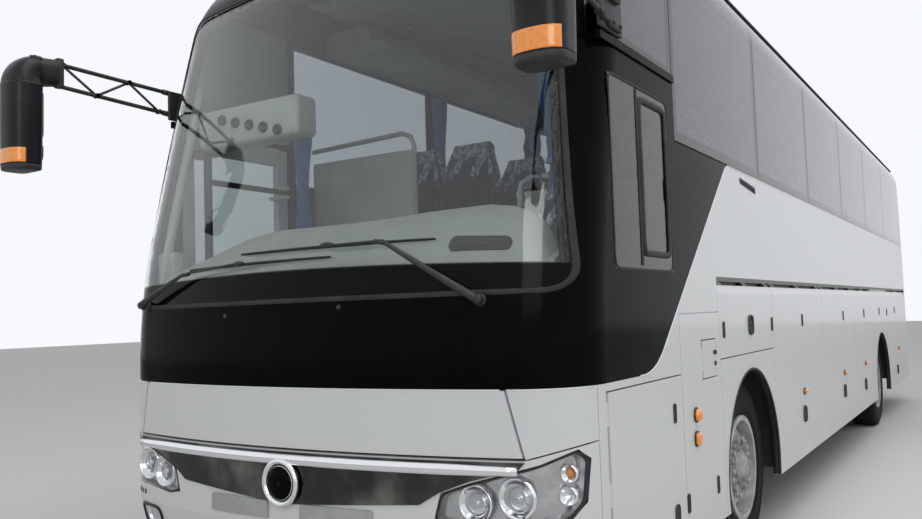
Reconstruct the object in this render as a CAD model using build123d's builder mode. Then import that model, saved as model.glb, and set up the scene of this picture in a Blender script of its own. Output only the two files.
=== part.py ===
from build123d import *
import os
from math import asin, cos, radians, sin, sqrt, tan

# Touring coach, two axles, left-hand drive, twelve metres long.
# +X points forward, +Y to the coach's left, +Z up. Sizes are in millimetres.
# The origin is on the ground, under the middle of the overall length, mirrors included.

# Driving sizes
FRONT_AXLE_X = 3190
WHEELBASE = 6150
FRONT_OVERHANG = 2620
REAR_OVERHANG = 3230
HALF_WIDTH = 1275
ROOF_Z = 3500
SKIRT_Z = 374
WALL = 45
GLASS = 8
PANEL_GAP = 5
SEAT_GAP = 0.3

REAR_AXLE_X = FRONT_AXLE_X - WHEELBASE
NOSE_X = FRONT_AXLE_X + FRONT_OVERHANG
REAR_X = REAR_AXLE_X - REAR_OVERHANG

# Outer form: the front is curved in plan, the windscreen leans back into a dome
PLAN_RADIUS = 4600
CORNER_RADIUS = 320
PLAN_AXIS_X = NOSE_X - PLAN_RADIUS
CHIN_Z = 620
CHIN_TUCK = 60
SCREEN_FOOT_Z = 1250
SCREEN_BEND_RADIUS = 3000
SCREEN_LEAN = radians(14)
DOME_START_Z = 3020
TAIL_BEND_Z = 1750
TAIL_LEAN = radians(12)
TAIL_TOP_RADIUS = 400
TAIL_BEND_RADIUS = TAIL_TOP_RADIUS + (ROOF_Z - TAIL_TOP_RADIUS - TAIL_BEND_Z) / sin(TAIL_LEAN)

# Where the skin is divided
BELT_Z = 2275
MASK_FOOT_Z = 1200
ROOF_EDGE_Z = 3360
PILLAR_REAR_X = FRONT_AXLE_X + 2130
PILLAR_TOP_X = FRONT_AXLE_X + 1970
DOME_REAR_X = FRONT_AXLE_X + 1246
CORNER_PANEL_X = FRONT_AXLE_X + 2260
REAR_CAP_X = REAR_X + 420
WAVE_FOOT_X = FRONT_AXLE_X + 1645
WAVE_TIP_X = FRONT_AXLE_X + 350
WAVE_FOOT_RADIUS = 420
WAVE_TIP_RADIUS = 160
CREASE_Z = 1600
CREASE_HALF = 10
CREASE_DEPTH = 15
DOOR_BEVEL = 45
BAND_BEVEL = 25

# Side windows: bonded panes of one pitch behind the cab
PANE_PITCH = 1650
PANE_COUNT = 6
PANE_GAP = 8
PILLAR_WIDTH = 110
WINDOW_HEAD_Z = 3230
WINDOW_SILL_Z = BELT_Z + 60
PANE_HEAD_Z = ROOF_EDGE_Z - PANE_GAP
DRIP_RAIL_Z = 2577
DRIP_RAIL_HALF = 18
CAB_WINDOW_SILL_Z = 1640
CAB_WINDOW_HEAD_Z = 2440
CAB_WINDOW_REAR_X = FRONT_AXLE_X + 1350
CAB_WINDOW_FRONT_X = FRONT_AXLE_X + 2050
DRIP_RAIL_PROUD = 10

# Windscreen, seen from the front
SCREEN_SILL_Z = 1555
SCREEN_HEAD_Z = 3120
SCREEN_HALF_LOW = 1240
SCREEN_HALF_HIGH = 1090
SCREEN_CORNER = 110
SCREEN_FLANGE = 45
SCREEN_REACH = 900

# Front panels, seen from the front
FLAP_HALF_TOP = 1010
FLAP_HALF_LOW = 1075
FLAP_FOOT_Z = 935
FLAP_GAP = 10
FLAP_ARM = 170
FLAP_ARM_Y = 600
FLAP_PIVOT_Z = 1140
FLAP_PIVOT_X = NOSE_X - 170
FLAP_LUG = 18
FLAP_ARM_THICK = 16
FLAP_EAR = 8
FLAP_EAR_GAP = 5
FLAP_EAR_Y = FLAP_ARM_THICK / 2 + FLAP_EAR_GAP + FLAP_EAR / 2
FLAP_EAR_REACH = 95
BUMPER_HALF = HALF_WIDTH + 20
BUMPER_SIDE_Z = 995
CHROME_PROUD = 8
CHROME_DEPTH = 20
CHROME_LOW_Z = 715
BOSS_Z = 804
BOSS_BADGE_RADIUS = 95
BOSS_PROUD = 26
LAMP_GAP = 3

# Rear
REAR_BUMPER_Z = 900
REAR_REACH = 700
LID_HALF = 860
LID_FOOT_Z = 910
LID_TOP_Z = 1650
REAR_WINDOW_Z = 2640
REAR_WINDOW_WIDTH = 1900
REAR_WINDOW_HEIGHT = 760
TAIL_LAMP_Y = 1010
TAIL_LAMP_Z = 1300
TAIL_LAMP_WIDTH = 160
TAIL_LAMP_HEIGHT = 560

# Tyres and rims: radius and width from the wheel's middle
TYRE_RADIUS = 515
TYRE_WIDTH = 290
BEAD_RADIUS = 286
FLANGE_RADIUS = 305
RIM_HALF = 126
RIM_WALL = 12
HUB_RADIUS = 115
HUB_INSET = 75
SPINDLE_RADIUS = 30
NUT_COUNT = 10
NUT_CIRCLE = 167
NUT_RADIUS = 17
HAND_HOLE_CIRCLE = 228
HAND_HOLE_RADIUS = 24
DUAL_SPACING = 340
TYRE_POINTS = [
    (BEAD_RADIUS, 110),
    (350, TYRE_WIDTH / 2),
    (465, TYRE_WIDTH / 2),
    (TYRE_RADIUS, 108),
]
FRONT_DISC = [
    (110, 88), (190, 88), (250, 55), (250, 20), (275, 20),
    (275, 40), (262, 62), (196, 102), (110, 102),
]
REAR_DISC = [
    (110, -DUAL_SPACING / 2), (200, -DUAL_SPACING / 2), (262, -110), (275, -60),
    (275, -45), (250, -60), (190, -DUAL_SPACING / 2 + 15), (110, -DUAL_SPACING / 2 + 15),
]

# Hub ends, nut face and side, bore radius and where the bore stops, from the wheel's middle
FRONT_HUB = (-44, 112, 102, 1, SPINDLE_RADIUS + SEAT_GAP, 100)
REAR_HUB = (-255, 95, -DUAL_SPACING / 2 + 15, 1, SPINDLE_RADIUS + SEAT_GAP, 83)

# Wheels
ARCH_RADIUS = 600
ARCH_Z = 500
LINER_RADIUS = 665
LINER_WALL = 15
LINER_INNER_Y = 520
LINER_OUTER_Y = 1225
FRONT_WHEEL_Y = HALF_WIDTH - HUB_INSET - TYRE_WIDTH / 2
REAR_OUTER_Y = HALF_WIDTH - HUB_INSET - TYRE_WIDTH / 2
REAR_INNER_Y = REAR_OUTER_Y - DUAL_SPACING

# Steering knuckles and axles
KINGPIN_Y = 880
KINGPIN_RADIUS = 18
BOSS_RADIUS = 45
EYE_HALF = 60
EAR_HEIGHT = 44
EAR_GAP = 6
BEAM_Z = 440
BEAM_HALF = 40
BEAM_END_Y = 825
DRUM_RADIUS = 190
DRUM_WIDTH = 40
DRUM_INNER_Y = 963
SPINDLE_MIDDLE_Y = 1070
SPINDLE_LENGTH = 160
REAR_TUBE_RADIUS = 75
REAR_DRUM_Y = 710
REAR_SPINDLE_Y = 1120
DIFFERENTIAL_RADIUS = 170
BELLOWS_RADIUS = 90

# Floors and frame
DECK_Z = 1350
DECK_THICKNESS = 50
CAB_FLOOR_Z = 1040
PLATE = 40
BAY_FLOOR_Z = 400
BAY_HALF = 1215
BULKHEADS = [-720, -2360, -4100, -5430]
FRONT_RAIL_Z = 660
REAR_RAIL_Z = 790
RAIL_Y = 280
REAR_RAIL_Y = 410
RAIL_WIDTH = 90
RAIL_HEIGHT = 200
FIREWALL_X = FRONT_AXLE_X + 2270
FIREWALL_TOP_Z = 1300
HANGER_HALF = 60
FRAME_HALF = 1222
DECK_FRONT_X = FRONT_AXLE_X + 1100
CAB_FLOOR_FRONT_X = FIREWALL_X - PLATE / 2
DECK_REAR_X = REAR_X + 120
LINING = 20
LINING_FOOT_Z = DECK_Z - 10
STEP_Y = -350
STEP_RISE = 310

# Entrance steps: top, inner edge, outer edge
STEPS = [(420, -340, -1220), (730, -340, -760)]

# Engine, one block at its real place
ENGINE_X = -5300
ENGINE_Z = 900
ENGINE_LENGTH = 1200
ENGINE_HEIGHT = 700

# Mirrors
MIRROR_BASE_X = FRONT_AXLE_X + 2030
MIRROR_BASE_Z = 2685
MIRROR_BASE_LENGTH = 240
MIRROR_BASE_HEIGHT = 170
MIRROR_PLATE = 10
MIRROR_X = 6110
MIRROR_Y = 1410
MIRROR_Z = 2545
MIRROR_DEPTH = 150
MIRROR_WIDTH = 210
MIRROR_HEIGHT = 610
MIRROR_ROUND = 40
MIRROR_LOW = 2690
MIRROR_HIGH = 2800

# Arm tubes: start, end, radius
MIRROR_TUBES = [
    ((5150, 1285, 2630), (6080, 1380, MIRROR_LOW), 11),
    ((5150, 1285, 2750), (6080, 1380, MIRROR_HIGH), 11),
    ((5380, 1309, 2645), (5560, 1327, 2772), 7),
    ((5560, 1327, 2772), (5740, 1345, 2668), 7),
    ((5740, 1345, 2668), (5920, 1364, 2791), 7),
]

# Doors along each side: name, front edge and rear edge from the front axle, lower edge
SIDE_DOORS = [
    ("luggage_door_front", -600, -2360, SKIRT_Z),
    ("luggage_door_middle", -2360, -4100, SKIRT_Z),
    ("luggage_door_rear", -4100, -5430, SKIRT_Z),
    ("engine_door", -6870, -8900, SKIRT_Z),
    ("arch_hatch", 650, -600, 1190),
]
CAB_DOOR_FRONT_X = FRONT_AXLE_X + 2180
CAB_DOOR_REAR_X = FRONT_AXLE_X + 1300
CAB_DOOR_TOP_Z = 1165
CAB_DOOR_HINGE_GAP = 22
CAB_DOOR_HINGE_DEPTH = 8
FUEL_PANEL_REAR_X = FRONT_AXLE_X + 650
FUEL_PANEL_LOW_Z = 1190
FUEL_PANEL_TOP_Z = 1443
JOINT_LINE = 5
JOINT_DEPTH = 8
FUEL_FLAP_REAR_X = FRONT_AXLE_X + 720
FUEL_FLAP_FRONT_X = FRONT_AXLE_X + 960
FUEL_FLAP_FOOT_Z = 1110
FUEL_FLAP_TOP_Z = 1310
FUEL_FLAP_THICK = 20
FUEL_RECESS = 41
FUEL_CAP_RADIUS = 60
FUEL_CAP_HIGH = 14
CREASE_FRONT_X = FRONT_AXLE_X + 660
DOOR_GAP = 6
DOOR_GLASS_Z = 1850
DOOR_GLASS_HEIGHT = 1180
DOOR_GLASS_INSET = 80

# Entrance door on the right, carried on two swinging arms so that it stays parallel
DOORWAY_REAR_X = DOME_REAR_X + 20
DOORWAY_FRONT_X = FRONT_AXLE_X + 2100
DOORWAY_FOOT_Z = 400
DOORWAY_HEAD_Z = 2546
LEAF_GAP = 8
POST_X = FRONT_AXLE_X + 2020
POST_Y = -1110
POST_RADIUS = 22
POST_FOOT_Z = 720
POST_TOP_Z = 2400
POST_PLATE_BACK = 50
POST_PLATE_FRONT = 27
ARM_LENGTH = 600
ARM_HALF = 18
ARM_LEVELS = [900, 2250]
PIN_RADIUS = 10

# Hinges: barrels on a line just inside the skin
HINGE_RADIUS = 6
HINGE_DEPTH = 20
HINGE_LENGTH = 90
HINGE_RISE = 8
HINGE_Y = HALF_WIDTH - HINGE_DEPTH

# Seats: side view from the cushion's front edge, on the floor
SEAT_POINTS = [
    (0, 330), (0, 440), (-60, 455), (-430, 430), (-640, 1120), (-720, 1120),
    (-560, 560), (-520, 340),
]
SEAT_PAIR_WIDTH = 900
SEAT_PAIR_Y = 735
SEAT_LEG_X = -300
SEAT_CUSHION_Z = 340
SEAT_ROWS = 12
SEAT_PITCH = 775
SEAT_FIRST_X = 4000
SEAT_PODIUM_HIGH = 180
SEAT_PODIUM_REACH = 90
DRIVER_X = 4950
DRIVER_Y = 700
DRIVER_SEAT_WIDTH = 500

# Dashboard and steering
DASH_X = NOSE_X - 620
DASH_LEFT_Y = 1150
DASH_RIGHT_Y = -1100
DASH_POINTS = [
    (140, CAB_FLOOR_Z), (140, 1500), (60, 1640), (60, 1700), (180, 1740), (430, 1640),
    (600, 1600), (600, 1450), (180, 1400), (180, CAB_FLOOR_Z),
]
COLUMN_LEAN = radians(28)
COLUMN_LENGTH = 420
COLUMN_RADIUS = 35
STEERING_X = 5130
STEERING_Z = 1790
STEERING_RADIUS = 225
STEERING_RIM = 15
STEERING_HUB_RADIUS = 60
STEERING_HUB_HALF = 25

# Wipers, in Y and Z: pivot, elbow, blade carrier, blade ends
WIPERS = [
    ((920, 1527), (516, 1767), (250, 1764), (-268, 1768), (731, 1768)),
    ((-1020, 1565), (-640, 1695), (-250, 1722), (-640, 1718), (250, 1726)),
]
WIPER_GAP = 45
WIPER_RADIUS = 9
WIPER_PIVOT_RADIUS = 18
BLADE_GAP = 20
BLADE_RADIUS = 12
BLADE_STEPS = 4

# On the roof
AC_X = -700
AC_LENGTH = 2600
AC_WIDTH = 1800
AC_HEIGHT = 190
AC_CHAMFER = 70
HATCHES = [2600, -3900]
HATCH_SIZE = 700
HATCH_HEIGHT = 45

# Outlines seen from the front: Y and Z of the left half's corners, or of the left lamp
SCREEN_POINTS = [
    (SCREEN_HALF_LOW, SCREEN_SILL_Z),
    (SCREEN_HALF_HIGH, SCREEN_HEAD_Z),
]
FLAP_POINTS = [
    (FLAP_HALF_LOW, FLAP_FOOT_Z),
    (FLAP_HALF_TOP, MASK_FOOT_Z),
]
BUMPER_POINTS = [
    (BUMPER_HALF, 0),
    (BUMPER_HALF, BUMPER_SIDE_Z),
    (FLAP_HALF_LOW, FLAP_FOOT_Z),
]
LAMP_POINTS = [
    (715, 700), (745, 805), (862, 847), (1120, 918), (1225, 965),
    (1250, 930), (1240, 775), (1200, 715), (800, 685),
]
CHROME_POINTS = [
    (0, CHROME_LOW_Z), (657, CHROME_LOW_Z + 45), (740, 809), (862, 856), (1050, 905),
    (1072, FLAP_FOOT_Z - PANEL_GAP), (0, FLAP_FOOT_Z - PANEL_GAP),
]

OUT = "parts"
LEFT_OFF = 50
LEFT = Plane.XZ.offset(-(HALF_WIDTH + LEFT_OFF))
SIDE_REACH = 250
FRONT = Plane(origin=(NOSE_X + 100, 0, 0), x_dir=(0, 1, 0), z_dir=(1, 0, 0))
FRONT_REACH = 1500


def point_on(centre_x, centre_z, radius, angle):
    """A point of an arc in the side view, its angle measured up from forward."""
    return centre_x + radius * cos(angle), centre_z + radius * sin(angle)


def nose_outline(inset, bottom):
    """Half of the side view, from the plan's upright axis forward to the nose."""
    nose = PLAN_RADIUS - inset
    bend = SCREEN_BEND_RADIUS - inset
    bend_x = PLAN_RADIUS - SCREEN_BEND_RADIUS
    bend_end_z = SCREEN_FOOT_Z + SCREEN_BEND_RADIUS * sin(SCREEN_LEAN)
    run = (DOME_START_Z - bend_end_z) / cos(SCREEN_LEAN)
    dome_radius = (ROOF_Z - DOME_START_Z) / (1 - sin(SCREEN_LEAN))
    dome_reach = SCREEN_BEND_RADIUS - dome_radius
    dome_x = bend_x + dome_reach * cos(SCREEN_LEAN) - run * sin(SCREEN_LEAN)
    dome_z = ROOF_Z - dome_radius
    dome = dome_radius - inset
    bend_end = point_on(bend_x, SCREEN_FOOT_Z, bend, SCREEN_LEAN)
    dome_start = point_on(dome_x, dome_z, dome, SCREEN_LEAN)
    Line((0, bottom), (nose - CHIN_TUCK, bottom))
    Line((nose - CHIN_TUCK, bottom), (nose, CHIN_Z))
    Line((nose, CHIN_Z), (nose, SCREEN_FOOT_Z))
    ThreePointArc(
        (nose, SCREEN_FOOT_Z),
        point_on(bend_x, SCREEN_FOOT_Z, bend, SCREEN_LEAN / 2),
        bend_end,
    )
    Line(bend_end, dome_start)
    ThreePointArc(
        dome_start,
        point_on(dome_x, dome_z, dome, (SCREEN_LEAN + radians(90)) / 2),
        (dome_x, ROOF_Z - inset),
    )
    Line((dome_x, ROOF_Z - inset), (0, ROOF_Z - inset))
    Line((0, ROOF_Z - inset), (0, bottom))


def tail_outline(inset, bottom):
    """The rest of the side view, from the plan's upright axis back to the tail."""
    tail = REAR_X + inset
    bend = TAIL_BEND_RADIUS - inset
    bend_x = REAR_X + TAIL_BEND_RADIUS
    top = TAIL_TOP_RADIUS - inset
    back = radians(180)
    top_x, top_z = point_on(
        bend_x, TAIL_BEND_Z, TAIL_BEND_RADIUS - TAIL_TOP_RADIUS, back - TAIL_LEAN
    )
    bend_end = point_on(bend_x, TAIL_BEND_Z, bend, back - TAIL_LEAN)
    Line((PLAN_AXIS_X, bottom), (tail, bottom))
    Line((tail, bottom), (tail, TAIL_BEND_Z))
    ThreePointArc(
        (tail, TAIL_BEND_Z),
        point_on(bend_x, TAIL_BEND_Z, bend, back - TAIL_LEAN / 2),
        bend_end,
    )
    ThreePointArc(
        bend_end,
        point_on(top_x, top_z, top, (back - TAIL_LEAN + radians(90)) / 2),
        (top_x, ROOF_Z - inset),
    )
    Line((top_x, ROOF_Z - inset), (PLAN_AXIS_X, ROOF_Z - inset))
    Line((PLAN_AXIS_X, ROOF_Z - inset), (PLAN_AXIS_X, bottom))


def hull(inset, bottom=SKIRT_Z):
    """The coach's outer form as one solid, moved in by inset."""
    half = HALF_WIDTH - inset
    turn = Plane(origin=(PLAN_AXIS_X, 0, 0), x_dir=(0, -1, 0), z_dir=(-1, 0, 0))
    with BuildPart() as form:
        with BuildSketch(turn):
            with BuildLine():
                nose_outline(inset, bottom)
            make_face()
        revolve(axis=Axis((PLAN_AXIS_X, 0, 0), (0, 0, 1)), revolution_arc=180)
        with Locations((PLAN_AXIS_X, 0, 0)):
            Box(3 * PLAN_RADIUS, 2 * half, 3 * ROOF_Z, mode=Mode.INTERSECT)
        with BuildSketch(Plane.XZ):
            with BuildLine():
                tail_outline(inset, bottom)
            make_face()
        extrude(amount=half, both=True)
        sides = form.faces().sort_by(Axis.Y)
        rims = [e for side in (sides[0], sides[-1]) for e in side.edges()]
        fillet([e for e in rims if e.center().Z > bottom + 1], radius=CORNER_RADIUS - inset)
    return form.part


def side_cut(low_x, high_x, low_z, high_z):
    """A rectangle on the side view, between two corners."""
    with Locations(((low_x + high_x) / 2, (low_z + high_z) / 2)):
        Rectangle(high_x - low_x, high_z - low_z)


def wave_area(above):
    """All above or below the white side panel's swept front edge and belt, in the side view."""
    shift = PANEL_GAP if above else 0
    far_z = ROOF_EDGE_Z if above else SKIRT_Z
    with BuildSketch(Plane.XY) as area:
        with BuildLine():
            FilletPolyline(
                (PILLAR_REAR_X + 400, MASK_FOOT_Z - PANEL_GAP + shift),
                (WAVE_FOOT_X, MASK_FOOT_Z - PANEL_GAP + shift),
                (WAVE_TIP_X, BELT_Z + shift),
                (REAR_X - 10, BELT_Z + shift),
                radius=[WAVE_FOOT_RADIUS, WAVE_TIP_RADIUS],
            )
            Polyline(
                (REAR_X - 10, BELT_Z + shift),
                (REAR_X - 10, far_z),
                (PILLAR_REAR_X + 400, far_z),
                (PILLAR_REAR_X + 400, MASK_FOOT_Z - PANEL_GAP + shift),
            )
        make_face()
    return area.sketch


def side_area(inside):
    """The side wall's outline in the side view, up to the leaning front pillar, moved in."""
    with BuildSketch(Plane.XY) as area:
        with BuildLine():
            Polyline(
                (REAR_CAP_X, SKIRT_Z),
                (PILLAR_REAR_X - inside, SKIRT_Z),
                (PILLAR_REAR_X - inside, DRIP_RAIL_Z),
                (PILLAR_TOP_X - inside, ROOF_EDGE_Z),
                (REAR_CAP_X, ROOF_EDGE_Z),
                close=True,
            )
        make_face()
    return area.sketch


def front_area(points, radius=0, grow=0):
    """An outline seen from the front, given by its corners, rounded and made larger."""
    with BuildSketch(Plane.XY) as area:
        with BuildLine():
            Polyline(*points, close=True)
        make_face()
        if radius:
            fillet(area.vertices(), radius=radius)
        if grow:
            offset(amount=grow, kind=Kind.INTERSECTION)
    return area.sketch


def both_sides(points):
    """The corners of an outline that is the same on both sides, from those of its left half."""
    return points + [(-y, z) for y, z in reversed(points) if y]


def hinge_places(length):
    """Where three hinges sit along an edge, from its middle."""
    return (-length / 2 + HINGE_LENGTH, 0, length / 2 - HINGE_LENGTH)


def hinge_barrels(length):
    """A door's barrels: X along the hinge line, Y outward, Z away from the door."""
    web = HINGE_RISE + 2
    with BuildPart() as barrels:
        for place in hinge_places(length):
            with Locations(Location((place, 0, 0), (0, 90, 0))):
                Cylinder(HINGE_RADIUS, HINGE_LENGTH)
            with Locations((place, 0, -web / 2)):
                Box(HINGE_LENGTH, 1.6 * HINGE_RADIUS, web)
    return barrels.part


def hinge_seats(length, rise, depth=HINGE_DEPTH):
    """The body's seats close behind those barrels, whose axis is so deep under the skin."""
    back = WALL - depth
    face = HINGE_RADIUS + SEAT_GAP
    foot = HINGE_RADIUS / 2
    with BuildPart() as seats:
        for place in hinge_places(length):
            with Locations((place, -(face + back) / 2, (rise - foot) / 2)):
                Box(HINGE_LENGTH, back - face, rise + foot)
    return seats.part


def rod(start, end, radius):
    """A round bar between two points."""
    line = Vector(*end) - Vector(*start)
    with BuildPart() as bar:
        with BuildSketch(Plane(origin=start, z_dir=line)):
            Circle(radius)
        extrude(amount=line.length)
    return bar.part


def finish(builder, name):
    """Labels a finished piece and writes its STEP file."""
    builder.part.label = name
    export_step(builder.part, os.path.join(OUT, name + ".step"))


os.makedirs(OUT, exist_ok=True)
outer_form = hull(0)
inner_form = hull(WALL, SKIRT_Z - 500)
glazing_form = hull(GLASS, SKIRT_Z - 500)
skin = outer_form - inner_form
glass_skin = outer_form - glazing_form

# Roof, white, between the front dome and the rear cap
with BuildPart() as roof:
    add(skin)
    with BuildSketch(LEFT):
        side_cut(REAR_CAP_X, DOME_REAR_X, ROOF_EDGE_Z, ROOF_Z + 100)
    extrude(amount=2 * HALF_WIDTH + 100, mode=Mode.INTERSECT)
finish(roof, "roof")

# How far forward and up the side wall goes, and its windows and panes within it
side_limit = side_area(0)
pane_limit = side_area(PANE_GAP / 2)
window_limit = side_area(PILLAR_WIDTH)

# The band of bonded panes, and the panes
with BuildPart() as pane_band:
    add(glass_skin)
    with BuildSketch(LEFT):
        side_cut(REAR_CAP_X, DOME_REAR_X, BELT_Z, ROOF_EDGE_Z)
        side_cut(DOME_REAR_X, PILLAR_REAR_X, DRIP_RAIL_Z + DRIP_RAIL_HALF, ROOF_EDGE_Z)
        add(side_limit, mode=Mode.INTERSECT)
    extrude(amount=SIDE_REACH, mode=Mode.INTERSECT)
pane_edges = [DOME_REAR_X - PANE_PITCH * i for i in range(PANE_COUNT)] + [REAR_CAP_X]
with BuildPart() as panes:
    add(pane_band.part)
    with BuildSketch(LEFT):
        for front, rear in zip(pane_edges, pane_edges[1:]):
            side_cut(rear + PANE_GAP / 2, front - PANE_GAP / 2, BELT_Z + PANE_GAP, PANE_HEAD_Z)
        side_cut(
            DOME_REAR_X + PANE_GAP / 2,
            PILLAR_REAR_X - PANE_GAP / 2,
            DRIP_RAIL_Z + DRIP_RAIL_HALF + 1,
            PANE_HEAD_Z,
        )
        add(pane_limit, mode=Mode.INTERSECT)
    extrude(amount=SIDE_REACH, mode=Mode.INTERSECT)

# Upper side wall, black, with the window openings cut
black_area = wave_area(above=True)
white_area = wave_area(above=False)
with BuildPart() as upper_side:
    add(skin)
    with BuildSketch(LEFT):
        add(black_area)
        add(side_limit, mode=Mode.INTERSECT)
    extrude(amount=SIDE_REACH, mode=Mode.INTERSECT)
    add(pane_band.part, mode=Mode.SUBTRACT)
    with BuildSketch(LEFT):
        for front, rear in zip(pane_edges, pane_edges[1:]):
            side_cut(
                rear + PILLAR_WIDTH / 2, front - PILLAR_WIDTH / 2, WINDOW_SILL_Z, WINDOW_HEAD_Z
            )
        side_cut(
            DOME_REAR_X + PILLAR_WIDTH / 2,
            PILLAR_REAR_X - PILLAR_WIDTH / 2,
            DRIP_RAIL_Z + PILLAR_WIDTH / 2,
            WINDOW_HEAD_Z,
        )
        add(window_limit, mode=Mode.INTERSECT)
    extrude(amount=SIDE_REACH, mode=Mode.SUBTRACT)
    with Locations(((DOME_REAR_X + PILLAR_REAR_X) / 2, HALF_WIDTH, DRIP_RAIL_Z)):
        Box(PILLAR_REAR_X - DOME_REAR_X, 2 * DRIP_RAIL_PROUD, 2 * DRIP_RAIL_HALF)

with BuildPart() as side_wall_left:
    add(upper_side.part)
    with BuildSketch(LEFT):
        side_cut(CAB_WINDOW_REAR_X, CAB_WINDOW_FRONT_X, CAB_WINDOW_SILL_Z, CAB_WINDOW_HEAD_Z)
    extrude(amount=SIDE_REACH, mode=Mode.SUBTRACT)
finish(side_wall_left, "side_wall_left")

with BuildPart() as side_wall_right:
    add(mirror(upper_side.part, about=Plane.XZ))
    with Locations(((DOORWAY_REAR_X + DOORWAY_FRONT_X) / 2, -HALF_WIDTH, DOORWAY_HEAD_Z / 2)):
        Box(DOORWAY_FRONT_X - DOORWAY_REAR_X, SIDE_REACH, DOORWAY_HEAD_Z, mode=Mode.SUBTRACT)
    with Locations((POST_X - POST_PLATE_BACK, POST_Y + 1.5 * POST_RADIUS, POST_TOP_Z)):
        Box(
            DOORWAY_FRONT_X + POST_PLATE_FRONT - POST_X + POST_PLATE_BACK,
            FRAME_HALF + POST_Y + 1.5 * POST_RADIUS,
            PLATE / 2,
            align=(Align.MIN, Align.MAX, Align.CENTER),
        )
    with Locations((DOORWAY_FRONT_X + POST_PLATE_FRONT, -FRAME_HALF + 1, POST_TOP_Z)):
        Box(POST_PLATE_FRONT - LEAF_GAP / 2, WALL / 2, PLATE / 2,
            align=(Align.MAX, Align.MAX, Align.CENTER))
    with Locations((POST_X, POST_Y, POST_TOP_Z)):
        Cylinder(POST_RADIUS + SEAT_GAP, ROOF_Z / 4, mode=Mode.SUBTRACT)
finish(side_wall_right, "side_wall_right")

with BuildPart() as side_glass:
    add(panes.part)
    add(mirror(panes.part, about=Plane.XZ))
    with Locations((
        (CAB_WINDOW_REAR_X + CAB_WINDOW_FRONT_X) / 2,
        HALF_WIDTH - GLASS / 2,
        (CAB_WINDOW_SILL_Z + CAB_WINDOW_HEAD_Z) / 2,
    )):
        Box(
            CAB_WINDOW_FRONT_X - CAB_WINDOW_REAR_X,
            GLASS,
            CAB_WINDOW_HEAD_Z - CAB_WINDOW_SILL_Z,
        )
finish(side_glass, "side_glass")

# Lower side skin, white, with the pressed crease along the door tops
door_top_z = CREASE_Z - CREASE_HALF
hinge_z = door_top_z + HINGE_RISE
with BuildPart() as lower_skin:
    add(skin)
    with BuildSketch(LEFT):
        add(white_area)
        with Locations(((REAR_CAP_X + CORNER_PANEL_X) / 2, ROOF_Z / 2)):
            Rectangle(CORNER_PANEL_X - REAR_CAP_X, 2 * ROOF_Z, mode=Mode.INTERSECT)
    extrude(amount=SIDE_REACH, mode=Mode.INTERSECT)
    with BuildSketch(Plane(origin=(CREASE_FRONT_X, 0, 0), x_dir=(0, 1, 0), z_dir=(1, 0, 0))):
        with BuildLine():
            Polyline(
                (HALF_WIDTH + CREASE_DEPTH, door_top_z - 2 * DOOR_BEVEL),
                (HALF_WIDTH - CREASE_DEPTH, door_top_z),
                (HALF_WIDTH - CREASE_DEPTH, door_top_z + 2 * CREASE_HALF),
                (HALF_WIDTH + CREASE_DEPTH, door_top_z + 2 * CREASE_HALF + 2 * BAND_BEVEL),
                close=True,
            )
        make_face()
    extrude(amount=-(CREASE_FRONT_X - REAR_CAP_X), mode=Mode.SUBTRACT)

seats = {}
barrels = {}
for name, front, rear, low in SIDE_DOORS:
    seats[name] = hinge_seats(front - rear, 2 * CREASE_HALF - HINGE_RISE + 2)
    barrels[name] = hinge_barrels(front - rear)
with BuildPart() as lower_side:
    add(lower_skin.part)
    with BuildSketch(LEFT):
        for name, front, rear, low in SIDE_DOORS:
            side_cut(
                FRONT_AXLE_X + rear,
                FRONT_AXLE_X + front,
                low - (1 if low == SKIRT_Z else 0),
                door_top_z + 2 * CREASE_HALF,
            )
        for axle_x in (FRONT_AXLE_X, REAR_AXLE_X):
            with Locations((axle_x, ARCH_Z)):
                Circle(ARCH_RADIUS)
    extrude(amount=SIDE_REACH, mode=Mode.SUBTRACT)
    for name, front, rear, low in SIDE_DOORS:
        with Locations((FRONT_AXLE_X + (front + rear) / 2, HINGE_Y, hinge_z)):
            add(seats[name])

cab_door_plane = Plane(
    origin=(
        CAB_DOOR_FRONT_X + HINGE_RISE,
        HALF_WIDTH - CAB_DOOR_HINGE_DEPTH,
        (SKIRT_Z + CAB_DOOR_TOP_Z) / 2,
    ),
    x_dir=(0, 0, -1),
    z_dir=(1, 0, 0),
)
fuel_flap_plane = Plane(
    origin=(
        FUEL_FLAP_FRONT_X + HINGE_RISE,
        HALF_WIDTH - CAB_DOOR_HINGE_DEPTH,
        (FUEL_FLAP_FOOT_Z + FUEL_FLAP_TOP_Z) / 2,
    ),
    x_dir=(0, 0, -1),
    z_dir=(1, 0, 0),
)
fuel_flap_high = FUEL_FLAP_TOP_Z - FUEL_FLAP_FOOT_Z
fuel_flap_seats = hinge_seats(
    fuel_flap_high, CAB_DOOR_HINGE_GAP - HINGE_RISE + 2, CAB_DOOR_HINGE_DEPTH
)
cab_door_seats = hinge_seats(
    CAB_DOOR_TOP_Z - SKIRT_Z, CAB_DOOR_HINGE_GAP - HINGE_RISE + 2, CAB_DOOR_HINGE_DEPTH
)
cab_door_barrels = hinge_barrels(CAB_DOOR_TOP_Z - SKIRT_Z)
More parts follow.
